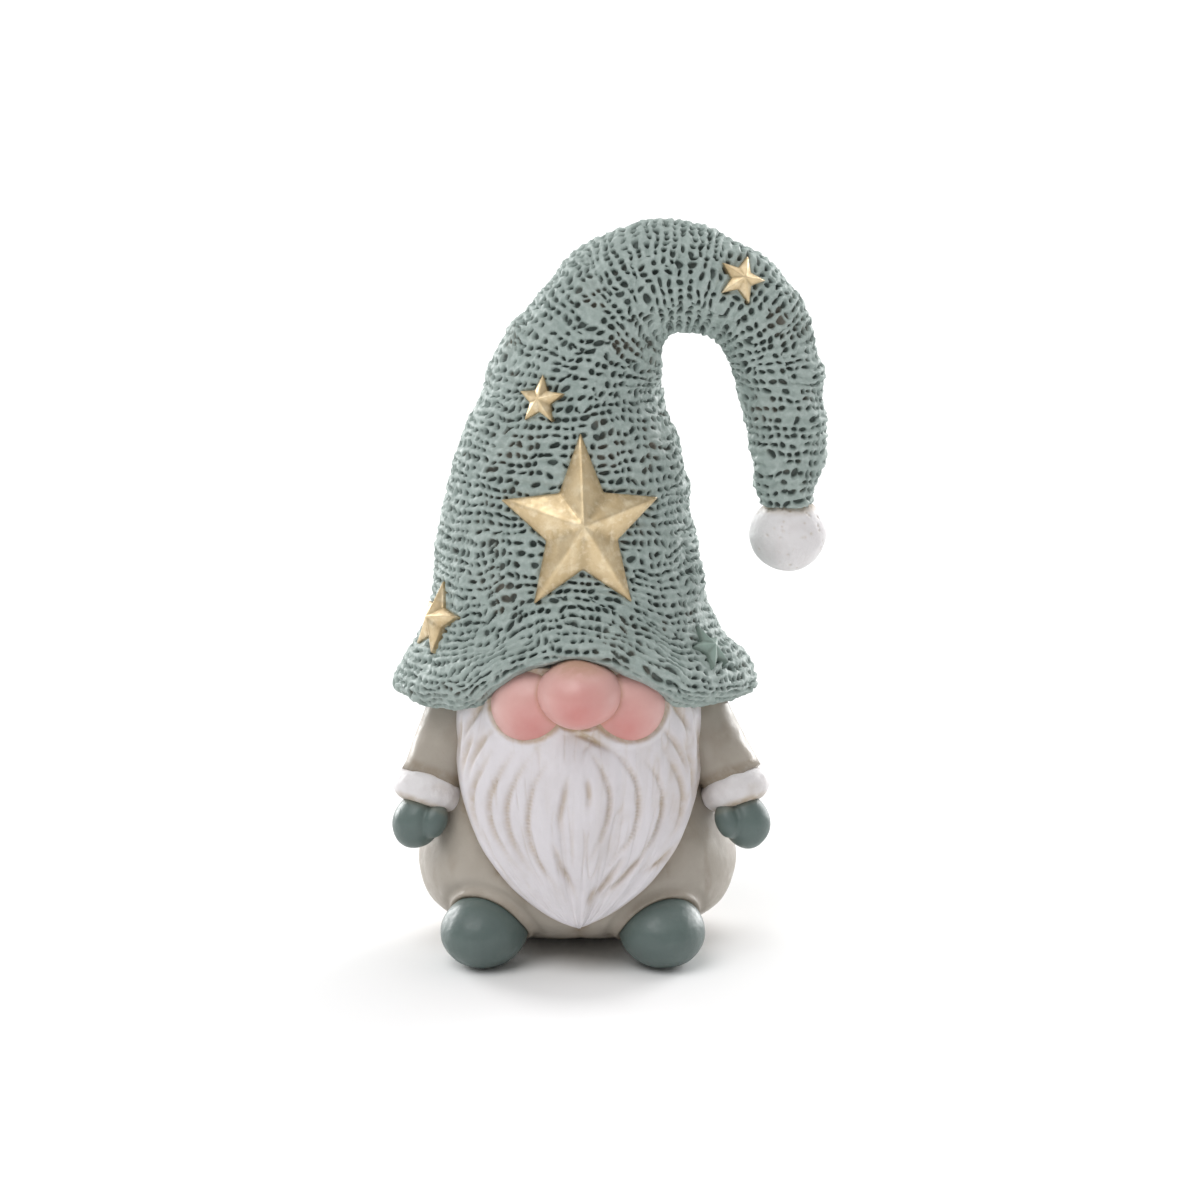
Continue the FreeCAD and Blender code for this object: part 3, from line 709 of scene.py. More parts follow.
@dataclass
class Star:
    """A five-pointed star with ridged arms, laid on the hat and bent to it."""

    node: str
    tip: float
    notch: float
    peak: float
    start: Triple
    direction: Triple
    up: Triple
    drape: float
    stretch: Tuple[float, float]
    paint: Paint
    slot: Slot
    arms: int = 5
    root: float = 2.6
    proud: float = 0.6
    ridge_round: float = 0.3
    cuts: int = 9
    probe: float = 12.0
    probe_reach: float = 50.0

    def cover(self, spot: np.ndarray, axes: np.ndarray, points: np.ndarray) -> np.ndarray:
        """How far some points lie from the star's middle, as a share of the way to its outline.

        Args:
            spot: the star's middle.
            axes: the star's own X, Y and Z.
            points: points on the hat.

        Returns:
            Under 1 below the star, 1 at its outline and more beyond it.
        """
        local = (points - spot) @ axes.T
        x, y = local[..., 0] / self.stretch[0], local[..., 1] / self.stretch[1]
        half_step = math.pi / self.arms
        off = np.abs((np.arctan2(x, y) + half_step) % (2 * half_step) - half_step)
        edge = self.tip * self.notch * math.sin(half_step)
        edge = edge / (self.tip * np.sin(off) + self.notch * np.sin(half_step - off))
        return np.where(np.abs(local[..., 2]) < self.tip, np.hypot(x, y) / edge, 9.0)

    def seat(self, hat_skin: BVHTree) -> Tuple[np.ndarray, np.ndarray]:
        """Where the star sits on the hat.

        Args:
            hat_skin: the cast hat's faces.

        Returns:
            The spot in mm, and a 3 by 3 array whose rows are the star's own X, Y and Z.
        """
        away = Vector(self.direction).normalized()
        origin = Vector(self.start) * MM + away * 0.2
        spot, normal, _, _ = hat_skin.ray_cast(origin, -away)
        if normal.dot(away) < 0:
            normal = -normal
        up = Vector(self.up)
        up = (up - normal * up.dot(normal)).normalized()
        return np.array(spot) / MM, np.array([up.cross(normal), up, normal])

    def build(self, hat_skin: BVHTree) -> None:
        """Models the star flat, raises its ridges, then bends it to the hat."""
        spot, axes = self.seat(hat_skin)
        rim_points = {"vertices": 2 * self.arms, "radius": self.tip * MM, "fill_type": "TRIFAN"}
        piece = add_form(f"painted_{self.node}", bpy.ops.mesh.primitive_circle_add, **rim_points)
        points = spots(piece)
        reach = np.linalg.norm(points[:, :2], axis=1)
        angle = np.degrees(np.arctan2(points[:, 1], points[:, 0])) - 90
        step = np.rint(angle / (180 / self.arms)).astype(int)
        rim = reach > self.tip / 2
        short = rim & (step % 2 != 0)
        points[short, :2] *= self.notch / self.tip
        points[~rim, 2] = self.peak
        points[:, 0] *= self.stretch[0]
        points[:, 1] *= self.stretch[1]
        put(piece, points)
        self.thicken(piece)
        apply_modifier(piece, "BEVEL", width=self.ridge_round * MM, segments=2, limit_method="ANGLE",
                       angle_limit=math.radians(14))
        select_only(piece)
        bpy.ops.object.mode_set(mode="EDIT")
        bpy.ops.mesh.select_all(action="SELECT")
        bpy.ops.mesh.subdivide(number_cuts=self.cuts)
        bpy.ops.object.mode_set(mode="OBJECT")
        self.bend(piece, hat_skin, spot, axes)
        close_up(piece)
        bpy.ops.object.shade_smooth_by_angle(angle=math.radians(24))
        dress(piece, self.paint, self.node)

    def thicken(self, piece: bpy.types.Object) -> None:
        """Draws the star's rim down into the hat and closes it underneath."""
        select_only(piece)
        bpy.ops.object.mode_set(mode="EDIT")
        bpy.ops.mesh.select_all(action="DESELECT")
        bpy.ops.mesh.select_mode(type="EDGE")
        bpy.ops.mesh.select_non_manifold()
        bpy.ops.mesh.extrude_region_move(TRANSFORM_OT_translate={"value": (0, 0, -self.root * MM)})
        bpy.ops.mesh.edge_face_add()
        bpy.ops.mesh.select_mode(type="VERT")
        bpy.ops.object.mode_set(mode="OBJECT")

    def bend(self, piece: bpy.types.Object, hat_skin: BVHTree, spot: np.ndarray, axes: np.ndarray) -> None:
        """Lets the arms follow the hat's round, and leaves the mark of the hand."""
        points = spots(piece)
        normal = Vector(axes[2])
        drop = np.zeros(len(points))
        for n, (x, y, _) in enumerate(points):
            over = Vector(spot + x * axes[0] + y * axes[1]) * MM + normal * (self.probe * MM)
            hit = hat_skin.ray_cast(over, -normal, self.probe_reach * MM)
            if hit[0] is not None:
                drop[n] = self.probe - hit[3] / MM
        reach = np.linalg.norm(points[:, :2], axis=1) / self.tip
        hand = Lumps(71).at(points, 2.4) * 0.012 * self.tip * np.minimum(reach * 3, 1.0)
        raised = points[:, 2] > -self.root * 0.5
        points[:, 2] += self.drape * drop + np.where(raised, hand * 0.3 + self.proud, 0.0)
        # bronze wash and painted shade lie along the rim and in the valleys between the arms
        angle = np.arctan2(points[:, 1], points[:, 0]) - math.pi / 2
        valley = 0.5 - 0.5 * np.cos(self.arms * angle)
        low = np.clip(1.0 - (points[:, 2] - self.drape * drop - self.proud) / (0.45 * self.peak), 0.0, 1.0)
        wash = np.maximum(low**2 * 0.7, valley**3 * 0.55 * (reach > 0.12))
        set_mark(piece, Mark.WASH, wash)
        put(piece, spot + points @ axes)


@dataclass
class Knit:
    """Rows of thick ropes with oval holes between them, as a coarse knit is cast."""

    row: float = 2.35
    stitch: float = 2.2
    hole_depth: float = 1.25
    rope: float = 0.32
    lip: float = 0.17
    zone_step: float = 1.5
    seed: int = 5
    # how many chance values there are, and the steps through them that keep neighbours apart
    chances: int = 8191
    shift_steps: Tuple[int, int] = (37, 911)
    key_steps: Tuple[int, int, int] = (131, 1031, 77)
    salt_step: int = 577

    def relief(
        self,
        angle: np.ndarray,
        along: np.ndarray,
        stretch: np.ndarray,
        girth: Tuple[np.ndarray, np.ndarray],
        points: np.ndarray,
    ) -> Tuple[np.ndarray, np.ndarray]:
        """The knit's height over the hat.

        Args:
            angle: angle round the hat, per point.
            along: length up the hat, per point.
            stretch: real length over the surface for each unit of along, per point.
            girth: lengths up the hat, and the hat's girth at each.
            points: the smooth hat's points.

        Returns:
            The height in mm and how hollow it is from 0 to 1, per point.
        """
        chance = np.random.default_rng(self.seed).uniform(0.0, 1.0, self.chances)
        # where the bend draws the knit in, fewer rows are left, and more where it is pulled open
        zone = np.rint(np.log(stretch) / math.log(self.zone_step) + 0.45 * Lumps(10).at(points, 5.0))
        pitch = self.row / self.zone_step**zone
        sway = Lumps(11).at(points, 9.0) * 0.5 + Lumps(12).at(points, 3.4) * 0.36
        level = along / pitch + sway
        row = np.floor(level).astype(int)
        up = level - row - 0.5
        count = np.maximum(np.rint(np.interp(row * pitch, *girth) / self.stitch), 8).astype(int)
        whole_zone = zone.astype(int)
        shift = chance[(row * self.shift_steps[0] + whole_zone * self.shift_steps[1]) % self.chances]
        round_about = angle / FULL_TURN * count + shift + Lumps(13).at(points, 4.0) * 0.55
        stitch = np.floor(round_about).astype(int)
        across = round_about - stitch - 0.5
        key = sum(part * step for part, step in zip((stitch % count, row, whole_zone), self.key_steps))

        def luck(salt: int) -> np.ndarray:
            """A steady chance value for each stitch."""
            return chance[(key + salt * self.salt_step) % self.chances]

        wide = 0.26 + 0.25 * luck(1)
        tall = 0.18 + 0.20 * luck(2)
        across_share = (across + (luck(3) - 0.5) * 0.22) / wide
        up_share = (up + (luck(4) - 0.5) * 0.18 + across * (luck(6) - 0.5) * 0.7) / tall
        ragged = 1.0 + 0.45 * Lumps(16).at(points, 1.1)
        size = (across_share**2 + up_share**2) * ragged
        filled = np.where(luck(5) < 0.13, 0.12, 1.0)
        hole = (1.0 - ease(size, 0.35, 1.25)) * filled
        ridge = np.exp(-(((size - 1.5) / 0.5) ** 2)) * filled
        rope = 0.5 - 0.5 * np.cos(FULL_TURN * (up + 0.5) + math.pi)
        thick = 1.0 + 0.7 * Lumps(15).at(points, 7.0)
        uneven = 0.22 * Lumps(14).at(points, 1.2) + 0.28 * Lumps(17).at(points, 2.7)
        deep = self.hole_depth * hole * (0.7 + 0.5 * luck(7))
        height = self.rope * rope * thick + self.lip * ridge - deep + uneven
        # the hollow mark is also raised a little between the ropes: painted shade in the knit's grooves
        return height, np.clip(hole * (0.75 + 0.4 * luck(8)) + 0.10 * (1.0 - rope), 0.0, 1.0)


@dataclass
class Section:
    """A length of the hat that is meshed as one piece, between two stations."""

    name: str
    start: float
    end: float
    columns: int
    rows: int


@dataclass
class Hat:
    """The tall knitted hat: a rolled brim, a leaning crown, a bend and a tail."""

    flatness: float = 0.92
    sway: float = 2.6
    tip_back: float = 9.0
    bend_radius: float = 25.0
    bend_x: float = 24.376
    bend_z: float = 140.2
    bend_draw: float = 2.2
    tail_length: float = 30.0
    tail_splay: float = 2.6
    arch_crest: float = 79.4
    arch_front: float = -40.8
    arch_rise: float = 14.5
    arch_half_width: float = 26.0
    arch_slope: float = 11.0
    arch_fade: float = 62.0
    # height, half width, share of the sway, share of the tip back; the first three turn under the brim
    under: Tuple[Tuple[float, float, float, float], ...] = (
        (68.0, 29.0, 0.0, 1.0),
        (62.2, 31.5, 0.0, 1.0),
        (60.2, 35.5, 0.0, 1.0),
    )
    crown: Tuple[Tuple[float, float, float, float], ...] = (
        (60.5, 39.0, 0.0, 1.0),
        (64.3, 44.3, 0.0, 1.0),
        (71.5, 41.8, 0.2, 0.9),
        (80.0, 36.4, 0.4, 0.7),
        (93.0, 32.9, 0.7, 0.45),
        (111.0, 29.6, 1.0, 0.2),
        (127.0, 26.2, 0.7, 0.0),
    )
    # degrees round the bend, share of the draw, radius
    bend: Tuple[Triple, ...] = (
        (0, 0.0, 20.9),
        (33, 1.0, 18.1),
        (56, 0.6, 16.5),
        (80, -0.3, 14.3),
        (108, -0.3, 12.8),
        (145, 0.3, 11.1),
        (180, 0.0, 10.5),
    )
    # share down the tail, share of the splay, radius
    tail: Tuple[Triple, ...] = ((0.3, 0.7, 10.0), (0.55, 0.9, 9.2), (1.0, 1.0, 6.3))
    tuck: float = 1.4
    overlap: float = 0.9
    knit_draw: float = 0.35
    # how far up the brim's lift is looked up, in how many steps, and the rows and columns the girth is taken at
    lift_reach: float = 90.0
    lift_steps: int = 360
    girth_rows: int = 240
    girth_columns: int = 73

    def stations(self) -> np.ndarray:
        """Middle X and Z, half width, half depth, degrees turned and degrees tipped, station by station."""
        table: List[Tuple[float, ...]] = []
        for z, half, sway, tip in self.under + self.crown:
            table.append((-sway * self.sway, z, half, half * self.flatness, 0.0, tip * self.tip_back))
        for degrees, draw, radius in self.bend:
            reach = self.bend_radius - draw * self.bend_draw
            angle = math.radians(degrees)
            x = self.bend_x - reach * math.cos(angle)
            table.append((x, self.bend_z + reach * math.sin(angle), radius, radius, degrees, 0.0))
        for down, out, radius in self.tail:
            x = self.bend_x + self.bend_radius + out * self.tail_splay
            table.append((x, self.bend_z - down * self.tail_length, radius, radius, 180.0, 0.0))
        return np.array(table)

    def knots(self) -> np.ndarray:
        """Length over the hat's surface from the first station to each."""
        table = self.stations()
        steps = np.linalg.norm(np.diff(table[:, :3], axis=0), axis=1)
        return np.concatenate([[0.0], np.cumsum(steps)])

    def smooth(self, along: np.ndarray, angle: np.ndarray) -> np.ndarray:
        """The smooth hat before its front is lifted.

        Args:
            along: lengths up the hat, one for each row.
            angle: angles round it, one for each column.

        Returns:
            Rows by columns by 3, in mm.
        """
        x, z, half, depth, turn, tip = smooth_curve(self.knots(), self.stations(), along).T[:, :, None]
        turn, tip = np.radians(turn), np.radians(tip)
        out, back = half * np.sin(angle), -depth * np.cos(angle)
        return np.stack(
            [x + out * np.cos(turn), back * np.cos(tip), z - out * np.sin(turn) - back * np.sin(tip)], axis=-1
        )

    def arch(self, x: np.ndarray, y: np.ndarray) -> np.ndarray:
        """Height of the arch over the nose."""
        radius = (self.arch_rise**2 + self.arch_half_width**2) / (2 * self.arch_rise)
        fall = radius - np.sqrt(np.maximum(radius**2 - x**2, 0.0))
        slope = math.tan(math.radians(self.arch_slope))
        return self.arch_crest - slope * (y - self.arch_front) - fall - 40.0 * (y > 0)

    def surface(self, along: np.ndarray, angle: np.ndarray) -> np.ndarray:
        """The hat with its brim lifted over the nose, laid out as smooth() gives it."""
        points = self.smooth(along, angle)
        lip_at = self.knots()[len(self.under)]
        lip = self.smooth(np.array([lip_at]), angle)[0]
        gap = self.arch(lip[:, 0], lip[:, 1]) - lip[:, 2]
        lift = 0.5 * (gap + np.sqrt(gap**2 + 3.0)) * (gap > -12) * (1 - ease(-gap, 2.0, 12.0))
        if not lift.any() or along[0] > lip_at + self.arch_fade:
            return points
        fade = 1.0 - ease(along, lip_at, lip_at + self.arch_fade)
        fine = np.linspace(lip_at, lip_at + self.lift_reach, self.lift_steps)
        table = self.smooth(fine, angle)
        moved = points.copy()
        keep = 0.55 + 0.45 * ease(along, lip_at, lip_at + 20.0)
        for column in range(len(angle)):
            rise = lift[column] * fade
            target = points[:, column, 2] + rise
            at_height = [np.interp(target, table[:, column, 2], table[:, column, n]) for n in (0, 1)]
            moved[:, column, 0] = keep * at_height[0] + (1 - keep) * points[:, column, 0]
            moved[:, column, 1] = keep * at_height[1] + (1 - keep) * points[:, column, 1]
            moved[:, column, 2] = target
            below = along < lip_at
            if below.any():
                new_lip_z = lip[column, 2] + lift[column]
                shift = [np.interp(new_lip_z, table[:, column, 2], table[:, column, n]) for n in (0, 1)]
                for n in (0, 1):
                    to_lip = 0.55 * (shift[n] - lip[column, n])
                    moved[below, column, n] = points[below, column, n] + to_lip
                moved[below, column, 2] = points[below, column, 2] + lift[column]
        return moved

    def build(self, stars: Sequence[Star], hat_skin: BVHTree) -> None:
        """Makes the hat's sections, each in its own mesh and all of one surface."""
        knots = self.knots()
        first_bend = len(self.under) + len(self.crown)
        brim_end = knots[len(self.under) + 3] + 2.0
        spans = (
            Section("hat_brim", 0.0, brim_end, 660, 118),
            Section("hat_crown", brim_end, knots[first_bend - 1], 600, 150),
            Section("hat_shoulder", knots[first_bend - 1], knots[first_bend + 2], 440, 150),
            Section("hat_bend", knots[first_bend + 2], knots[first_bend + 4], 400, 190),
            Section("hat_fall", knots[first_bend + 4], knots[first_bend + 6], 300, 170),
            Section("hat_tail", knots[first_bend + 6], knots[-1], 240, 100),
        )
        seats = [(star, *star.seat(hat_skin)) for star in stars]
        for number, span in enumerate(spans):
            self.section(span, seats, number == 0, number == len(spans) - 1)

    def section(self, span: Section, seats: Sequence[Tuple[Star, np.ndarray, np.ndarray]], first: bool,
                last: bool) -> None:
        """Meshes one length of the hat, its ends tucked in under its neighbours."""
        along = np.linspace(span.start, span.end, span.rows + 1)
        sink = np.zeros(span.rows + 1)
        if not first:
            along = np.concatenate([[span.start - self.overlap], along])
            sink = np.concatenate([[self.tuck], sink])
        if not last:
            along = np.concatenate([along, [span.end + self.overlap]])
            sink = np.concatenate([sink, [self.tuck]])
        angle = np.linspace(-math.pi, math.pi, span.columns + 1)
        points = self.surface(along, angle)
        points[:, -1] = points[:, 0]
        normals = outward(points, wraps=True)
        fine = np.linspace(0.0, self.knots()[-1], self.girth_rows)
        rings = self.smooth(fine, np.linspace(-math.pi, math.pi, self.girth_columns))
        girth = np.linalg.norm(np.diff(rings, axis=1), axis=-1).sum(axis=1)
        grid_angle = np.broadcast_to(angle, points.shape[:2]) + math.pi
        grid_along = np.broadcast_to(along[:, None], points.shape[:2])
        stretch = np.linalg.norm(np.gradient(points, axis=0), axis=-1)
        stretch = np.clip(stretch / np.gradient(along)[:, None], 0.3, 3.0)
        height, hollow = Knit().relief(grid_angle, grid_along, stretch, (fine, girth), points)
        lip_at = self.knots()[len(self.under)]
        front = 1.0 - ease(np.abs(angle), 0.35, 0.85)
        rolled = 1.0 - ease(along, lip_at + 0.3, lip_at + 3.2)
        inside = 1.0 - ease(along, lip_at - 5.0, lip_at)
        plain = 1.0 - np.maximum(0.85 * rolled[:, None] * front[None, :], inside[:, None])
        height = height * plain
        # painted shade under the turned-under brim, carried by the hollow mark
        hollow = hollow * plain + 0.55 * inside[:, None]
        big = Lumps(21).at(points, 12.0) * 0.9 + Lumps(22).at(points, 5.5) * 0.75
        flat = points * np.array([0.35, 0.35, 1.6])
        folds = Lumps(23).at(flat, 9.0) * 0.95
        calm = np.ones(points.shape[:2])
        clear = np.ones(points.shape[:2])
        for star, spot, axes in seats:
            calm *= ease(np.linalg.norm(points - spot, axis=-1), 0.7 * star.tip, 1.35 * star.tip)
            clear *= ease(star.cover(spot, axes, points), 1.0, 1.0 + 2.2 / star.tip)
        height = np.minimum(height, 0.0) + np.maximum(height, 0.0) * clear
        height = height + (big + folds) * calm * (1.0 - inside[:, None]) - self.knit_draw * plain
        height = height - sink[:, None]
        moved = points + normals * height[..., None]
        moved[:, -1] = moved[:, 0]
        hollow = np.array(hollow)
        hollow[:, -1] = hollow[:, 0]
        piece = wrap_sheet(span.name, moved, {Mark.HOLLOW: hollow})
        dress(piece, KNIT_ACRYLIC, "hat")


@dataclass
class Bobble:
    """The ball on the tail's end, with pinholes from the casting."""

    egg: Egg = Egg((51.98, 0.0, 102.5), (9.4, 9.4, 9.3))
    pits: int = 70
    pit_depth: float = 0.28

    def build(self) -> None:
        """Models the ball, dents it by hand and pricks its pinholes."""
        piece = ball("bobble", self.egg, 200, 130)
        points = spots(piece)
        middle = np.array(self.egg.middle)
        away = (points - middle) / np.linalg.norm(points - middle, axis=-1, keepdims=True)
        height = 0.22 * Lumps(31).at(points, 6.0) + 0.10 * Lumps(32).at(points, 2.2)
        generator = np.random.default_rng(33)
        depth = np.zeros(len(points))
        for _ in range(self.pits):
            aim = generator.normal(size=3)
            aim /= np.linalg.norm(aim)
            off = np.degrees(np.arccos(np.clip(away @ aim, -1, 1)))
            depth = np.maximum(depth, np.exp(-((off / generator.uniform(1.2, 2.6)) ** 2)))
        points += away * (height - self.pit_depth * depth)[:, None]
        put(piece, points)
        # brown wash round the top where the tail meets it, and painted shade in the pinholes
        collar = 1.0 - ease(np.abs(points[:, 2] - (middle[2] + 7.6)), 0.0, 2.4)
        set_mark(piece, Mark.WASH, 0.85 * collar * (points[:, 2] > middle[2]) + 0.5 * depth)
        dress(piece, FUR_ACRYLIC, "pompom")


# ---------- face and beard ----------


@dataclass
class Face:
    """The nose and the two cheeks, plainly a gnome's."""

    def build(self) -> None:
        """Models the nose and both cheeks."""
        self.form("nose", NOSE, (NOSE.middle[0], -44.0, NOSE.middle[2] - 2.5), 7.5, [])
        for side in Side:
            egg = CHEEKS[side]
            glow = (egg.middle[0] + side.value * 1.0, -37.0, egg.middle[2] - 4.5)
            self.form(f"cheek_{side.word}", egg, glow, 7.0, [NOSE])

    def form(self, name: str, egg: Egg, glow: Triple, glow_reach: float, neighbours: Sequence[Egg]) -> None:
        """Models one round form.

        Args:
            name: the piece and its CAD node.
            egg: its shape.
            glow: the middle of its blush.
            glow_reach: how far the blush spreads.
            neighbours: forms that it meets, where the wash and painted shade gather.
        """
        piece = ball(f"painted_{name}", egg, 128, 96)
        points = spots(piece)
        away = surface_normals(piece)
        height = 0.28 * Lumps(41).at(points, 8.0) + 0.08 * Lumps(42).at(points, 3.0)
        # painted shade: darker towards the top under the hat's brim, where the form meets its neighbours, and
        # in a band round its back
        wash = 0.75 * ease(points[:, 2], 74.0, 79.0)
        for other in neighbours:
            gap = other.distance(points)
            wash = np.maximum(wash, 0.55 * (1.0 - ease(gap, 0.0, 1.2)))
        rim = 0.55 * (1.0 - ease(np.abs(points[:, 1] + 24.0), 0.0, 3.0))
        points += away * height[:, None]
        put(piece, points)
        near = np.linalg.norm(points - np.array(glow), axis=-1)
        set_mark(piece, Mark.BLUSH, 0.85 * np.exp(-((near / glow_reach) ** 2)))
        set_mark(piece, Mark.WASH, np.maximum(wash, rim))
        dress(piece, SKIN_ENAMEL, name)


@dataclass
class Beard:
    """The long pointed beard, cut with grooves between its locks."""

    columns: int = 320
    rows: int = 250
    edge_round: float = 3.0
    groove_depth: float = 1.0
    groove_width: float = 0.70
    groove_steps: int = 40
    strand_width: float = 31.0
    back_y: float = -8.0
    # height, half width and half depth of the bulge that stands proud of the coat
    bulge: Tuple[Triple, ...] = (
        (0.0, 45.6, 36.1),
        (18.0, 45.6, 36.7),
        (32.0, 42.8, 37.5),
        (47.0, 38.2, 37.5),
        (76.0, 32.5, 34.0),
    )
    # X and Z of each cut groove from its upper end down
    grooves: Tuple[Tuple[Tuple[float, float], ...], ...] = (
        ((-20.3, 54.9), (-23.3, 49.3), (-25.4, 43.0), (-24.6, 37.5), (-21.0, 31.6)),
        ((-15.3, 55.3), (-18.8, 49.2), (-20.9, 43.1), (-20.4, 37.0), (-16.8, 30.4), (-12.2, 25.2)),
        ((-11.1, 54.7), (-14.6, 48.9), (-16.8, 42.7), (-16.4, 36.4), (-13.2, 29.6), (-8.4, 23.4)),
        ((-7.1, 53.4), (-10.3, 47.6), (-11.5, 41.8), (-11.7, 36.0), (-9.7, 29.9), (-6.1, 24.4), (-2.6, 19.6)),
        ((-1.9, 50.4), (-3.1, 44.7), (-3.9, 39.7), (-3.5, 34.7)),
        ((3.3, 56.7), (6.5, 51.1), (8.1, 45.3), (7.7, 40.4), (5.7, 34.7), (2.5, 28.1)),
        ((8.1, 57.4), (12.5, 52.3), (14.9, 46.5), (14.9, 40.7), (12.9, 34.3), (9.7, 30.4), (6.5, 26.3)),
        ((16.9, 53.4), (19.9, 48.3), (21.0, 42.5), (19.8, 36.8), (16.3, 30.9), (11.6, 25.6)),
        ((21.8, 54.3), (24.8, 49.0), (26.0, 43.2), (24.8, 37.2), (21.0, 31.6)),
        ((26.3, 56.5), (28.3, 49.7), (28.5, 43.4), (27.5, 38.8)),
        ((-24.9, 58.1), (-27.3, 52.0), (-27.9, 46.4)),
        ((-27.9, 60.5), (-28.9, 53.9), (-28.7, 49.3)),
        ((29.6, 60.3), (30.4, 53.0), (30.0, 46.1)),
        ((2.5, 50.4), (3.1, 45.5), (2.7, 41.4)),
        ((11.3, 29.7), (7.3, 23.9), (4.1, 19.7), (2.0, 15.6)),
        ((-5.5, 33.5), (-3.6, 27.8), (-1.4, 23.4), (0.4, 19.6)),
        ((17.2, 31.7), (13.2, 26.9), (9.0, 22.6), (5.2, 19.6)),
        ((4.9, 22.9), (3.3, 19.6), (2.5, 17.0)),
                ((24.2, 32.2), (21.0, 28.5), (16.2, 25.7)),
        ((-2.0, 61.5), (2.0, 60.0), (6.0, 57.8), (10.0, 55.8)),
        ((-21.5, 70.0), (-23.4, 64.8), (-26.2, 59.4), (-28.0, 54.0)),
        ((-19.6, 60.6), (-22.6, 57.0), (-25.2, 51.8), (-26.6, 46.6)),
        ((-24.8, 70.6), (-26.6, 66.2), (-28.6, 61.8)),
        ((22.4, 70.0), (24.2, 65.0), (27.2, 59.6), (28.8, 54.4)),
        ((20.6, 60.8), (23.6, 57.2), (26.2, 52.0), (27.4, 46.8)),
        ((26.0, 70.6), (27.6, 66.4), (29.6, 62.2)),
    )

    def depth(self, x: np.ndarray, z: np.ndarray) -> Tuple[np.ndarray, np.ndarray]:
        """Y of the bulge's front and of what lies behind it."""
        table = np.array(self.bulge)
        wide, deep = smooth_curve(table[:, 0], table[:, 1:], z.ravel()).T.reshape((2,) + z.shape)
        front = -deep * np.sqrt(np.maximum(1.0 - ((x - OUTLINE.middle) / wide) ** 2, 0.02))
        half, thick, middle = np.moveaxis(COAT_FORM.at(np.minimum(z, 66.0)), -1, 0)
        coat = middle - thick * np.sqrt(np.maximum(1.0 - (x / half) ** 2, 0.0))
        return front, np.minimum(coat, self.back_y)

    def cut_depth(self, x: np.ndarray, z: np.ndarray) -> np.ndarray:
        """How deep the grooves are at each point, from 0 to 1."""
        total = np.zeros(x.shape)
        for line in self.grooves:
            corners = np.array(line)
            lengths = np.concatenate([[0.0], np.cumsum(np.linalg.norm(np.diff(corners, axis=0), axis=1))])
            fine = smooth_curve(lengths, corners, np.linspace(0.0, lengths[-1], self.groove_steps))
            best = np.full(x.shape, 99.0)
            place = np.zeros(x.shape)
            for n, (px, pz) in enumerate(fine):
                off = np.hypot(x - px, z - pz)
                nearer = off < best
                best = np.where(nearer, off, best)
                place = np.where(nearer, n / (self.groove_steps - 1), place)
            swell = ease(place, -0.12, 0.4) * (1.0 - 0.9 * ease(place, 0.5, 1.0))
            total = np.maximum(total, swell * np.exp(-((best / self.groove_width) ** 2)))
        return total

    def build(self) -> None:
        """Models the beard's front, its rounded edge and its back."""
        share = np.sin(np.linspace(-1.0, 1.0, self.columns + 1) * math.pi / 2)
        down = np.linspace(0.0, 1.0, self.rows + 1)
        z_line = OUTLINE.top_z + (OUTLINE.tip_z - OUTLINE.top_z) * down
        ragged = Lumps(50).at(np.stack([z_line * 0, z_line * 0, z_line], axis=-1), 4.0) * 0.35
        reach = OUTLINE.reach(z_line) + ragged * ease(OUTLINE.reach(z_line), 0.0, 6.0)
        x = OUTLINE.middle + share[None, :] * reach[:, None]
        z = np.broadcast_to(z_line[:, None], x.shape)
        front, behind = self.depth(x, z)
        inset = np.clip((reach[:, None] - np.abs(x - OUTLINE.middle)) / self.edge_round, 0.0, 1.0)
        slope = np.clip((z - OUTLINE.tip_z) / 2.2, 0.0, 1.0)
        shape = np.sqrt(1.0 - (1.0 - np.minimum(inset, slope)) ** 2)
        y = (behind - 0.25) * (1.0 - shape) + front * shape
        points = np.stack([x, y, z], axis=-1)
        normals = outward(points, wraps=False)
        if normals[self.rows // 2, self.columns // 2, 1] > 0:
            normals = -normals
        strand = np.stack([share[None, :] * self.strand_width + 0 * z, 0 * z, z * 0.16], axis=-1)
        locks = 0.60 * Lumps(51).at(strand, 4.6) + 0.24 * Lumps(52).at(strand, 1.9)
        fine = 0.08 * Lumps(53).at(strand * np.array([1.0, 1.0, 1.6]), 0.62)
        line = np.exp(-((Lumps(54).at(strand * np.array([1.0, 1.0, 0.8]), 2.1) / 0.10) ** 2))
        line = line * ease(Lumps(55).at(points, 6.0), -0.5, 0.4)
        fine = fine - 0.28 * line
        grooves = self.cut_depth(x, z)
        gap = np.min([egg.distance(points) for egg in (NOSE, *CHEEKS.values())], axis=0)
        rim = 0.45 * np.exp(-(((gap - 0.9) / 0.7) ** 2))
        height = ((locks + fine) * ease(gap, 0.5, 4.0) - self.groove_depth * grooves + rim) * shape
        moved = points + normals * height[..., None]
        # tan wash with painted shade in the grooves, and painted shade under the nose and cheeks, along the
        # beard's turned edge and towards its top
        wash = 0.62 * grooves + 0.9 * (1.0 - ease(np.abs(gap), 0.0, 1.3))
        wash = wash + 0.55 * (1.0 - ease(inset, 0.0, 0.5))
        # painted shadow of the nose on the beard
        nose_shadow = np.exp(-(((x - 3.0) / 6.0) ** 2) - ((z - 60.5) / 2.2) ** 2)
        wash = wash + nose_shadow * (0.4 + 0.6 * grooves) + 0.6 * ease(z, 61.0, 69.0)
        wash = wash + 0.10 * ease(-Lumps(52).at(strand, 1.9), 0.25, 0.8) + 0.22 * line
        piece = wrap_sheet("painted_beard", self.with_back(moved, behind), self.marks(wash))
        dress(piece, BEARD_ACRYLIC, "beard")

